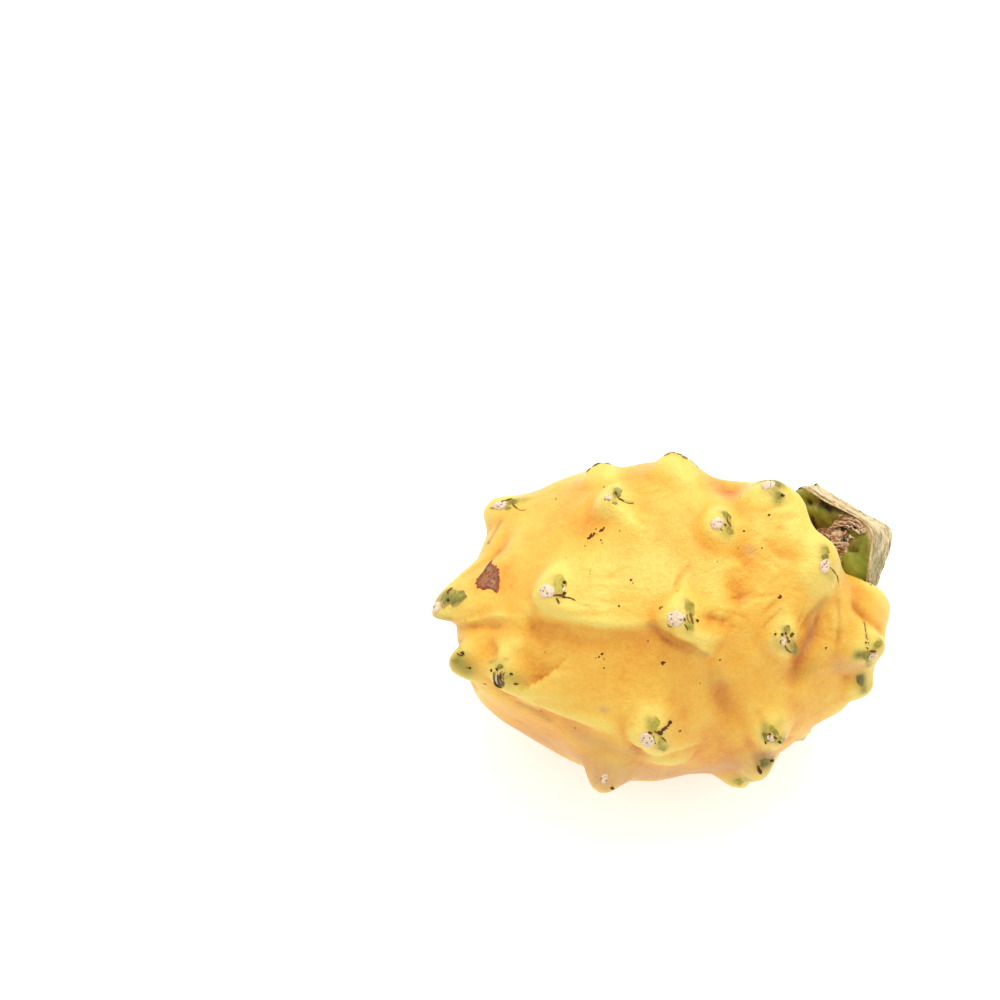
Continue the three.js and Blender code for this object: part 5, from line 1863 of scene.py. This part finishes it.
def make_cork():
    """The shredded neck between the fruit and the stem."""
    basin = Place(*foot_at(*BASIN["place"]))
    below = BASIN["depth"] + WELL["depth"] + NECK["seat"]
    floor = basin.foot + np.array([0, 0, AXIS_HEIGHT]) - basin.normal * below
    top = KNOT + wedge.out * NECK["sunk"]
    axis = unit(top - floor)
    aside = unit(np.cross(axis, (0, 0, 1)))
    upward = np.cross(axis, aside)
    rings, sides = CORK_NET
    share = np.linspace(0, 1, rings)[:, None]
    angle = np.linspace(0, 2 * math.pi, sides, endpoint=False)[None]

    def column(share):
        wide = smooth(*NECK["widens"], share)
        radius = NECK["base"] + (NECK["collar"] - NECK["base"]) * wide
        radius = radius * (1 + sum(part * np.cos(count * angle + twist * share)
                                   for count, part, twist in KNOBS))
        middle = floor + (top - floor) * share[..., None]
        outward = aside * np.cos(angle)[..., None] + upward * np.sin(angle)[..., None]
        return middle + radius[..., None] * outward

    plain = column(np.broadcast_to(share, (rings, sides)))
    entered = (wedge.inside(plain.reshape(-1, 3)).reshape(rings, sides) > 0).argmax(0)
    last = np.where(entered > 0, share[entered, 0], 1.0)
    points = column(share * last).reshape(-1, 3)
    faces = ring_faces(rings, sides)
    triangles = as_triangles(faces)
    normals = mesh_normals(points, triangles)
    lift = CORK["shreds"] * rough(points * np.array(CORK["grain"]), *ROUGH["shreds"])
    lift += CORK["crumbs"] * rough(points, *ROUGH["crumbs"])
    moved = points + normals * lift[:, None]
    fold, = folding(moved, triangles, mesh_normals(moved, triangles), [CORK_FOLD_ROUNDS])
    cork = closed_object("cork_knot", to_frame(moved) * MM, faces, dict(fold=fold))
    finish_piece(cork, cork_material(), "cork", "stem_neck")


def make_cork_bits():
    """Fibres and crumbs round the knot, where the photograph shows them."""
    random = np.random.default_rng(DETAIL_SEED + 3)
    shown, faces = [], []
    for name in ("stem_skin", "cork_knot"):
        carrier = bpy.data.objects[name].data
        start = sum(len(points) for points in shown)
        shown.append(np.array([vertex.co for vertex in carrier.vertices]))
        faces += [[corner + start for corner in side.vertices] for side in carrier.polygons]
    sight = Sight(net.sight.eye, np.concatenate(shown), faces, STEM_MIDDLE)
    pile = Pile()
    for *pixels, radius, fold, strands in CORK_STRANDS:
        stops = [sight.look(pixel) for pixel in pixels]
        gaps = [np.linalg.norm(b[0] - a[0]) / MM for a, b in zip(stops, stops[1:])]
        if max(gaps) > LONGEST_GAP:
            continue  # the strand would hang between two surfaces
        out = radius * STRAND["out"]
        path = catmull([place / MM + normal * out for place, normal, _ in stops], STRAND["steps"])
        for _ in range(STRAND["fibres"] * strands):
            drift = random.normal(0, radius * STRAND["astray"], 3) * (strands > 1)
            wavy = random.normal(0, radius * STRAND["wavy"], path.shape)
            radii = radius * random.uniform(*STRAND["radius"]) * thickness(len(path), FIBRE_ENDS)
            folded = fold + random.normal(0, STRAND["fold"])
            pile.tube(path + drift + wavy, radii, STRAND["flatness"], fold=folded)
    for start, end, size, count in CORK_CRUMBS:
        for _ in range(count):
            pixel = np.array(start) + random.uniform(0, 1, 2) * (np.array(end) - np.array(start))
            place, normal, _ = sight.look(pixel)
            x, y = round_net(CRUMB["net"])
            crumb = size * random.uniform(*CRUMB["size"])
            aside = unit(np.cross(normal, random.normal(0, 1, 3)))
            over, flatness = np.cross(normal, aside), random.uniform(CRUMB["flatness"], 1)
            level = x[..., None] * aside + y[..., None] * over * flatness
            level = place / MM + level * crumb
            lift = crumb * CRUMB["height"] * (1 - np.hypot(x, y) ** CRUMB["wall"])
            lift = lift + random.normal(0, CRUMB["rough"], x.shape) * crumb
            pile.crust(level, normal, lift, CRUMB["sunk"], fold=random.normal(0, CRUMB["fold"]))
    finish_piece(pile.piece("cork_bits", lambda points: points * MM), cork_material(), "cork")


make_stem_cut(make_stem_skin())
make_cork()
make_cork_bits()

# ------------------------------------------------------------ floor, light and camera


def make_floor():
    paint = Paint("floor")
    colour = paint.ramp(paint.noise(FLOOR["lumps"], detail=2), *FLOOR["tones"])
    half = FLOOR["half"]
    corners = [(-half, -half, 0), (half, -half, 0), (half, half, 0), (-half, half, 0)]
    floor = mesh_object("floor", corners, [(0, 1, 2, 3)])
    floor.data.materials.append(paint.surface(
        colour, FLOOR["roughness"], Emission_Color=(1, 1, 1, 1), Emission_Strength=FLOOR["glow"]))


def make_lights():
    world = bpy.data.worlds.new("studio")
    bpy.context.scene.world = world
    world.use_nodes = True
    background = world.node_tree.nodes["Background"]
    background.inputs["Color"].default_value = (1.0, 1.0, 1.0, 1)
    background.inputs["Strength"].default_value = WORLD_STRENGTH
    light = bpy.data.lights.new("key", "AREA")
    light.energy, light.size = KEY["power"], KEY["size"]
    lamp = bpy.data.objects.new("key", light)
    lamp.location = KEY["place"]
    towards = Vector(KEY["aim"]) - lamp.location
    lamp.rotation_euler = towards.to_track_quat("-Z", "Y").to_euler()
    bpy.context.scene.collection.objects.link(lamp)


def make_camera():
    camera_data = bpy.data.cameras.new("camera")
    camera_data.sensor_width, camera_data.lens = CAMERA["sensor"], CAMERA["lens"]
    camera = bpy.data.objects.new("camera", camera_data)
    axes = np.stack([*camera_axes(), net.sight.eye], -1)
    camera.matrix_world = Matrix([list(row) for row in axes] + [[0, 0, 0, 1]])
    bpy.context.scene.collection.objects.link(camera)
    bpy.context.scene.camera = camera


make_floor()
make_lights()
make_camera()
bpy.context.scene.view_settings.view_transform = "Standard"
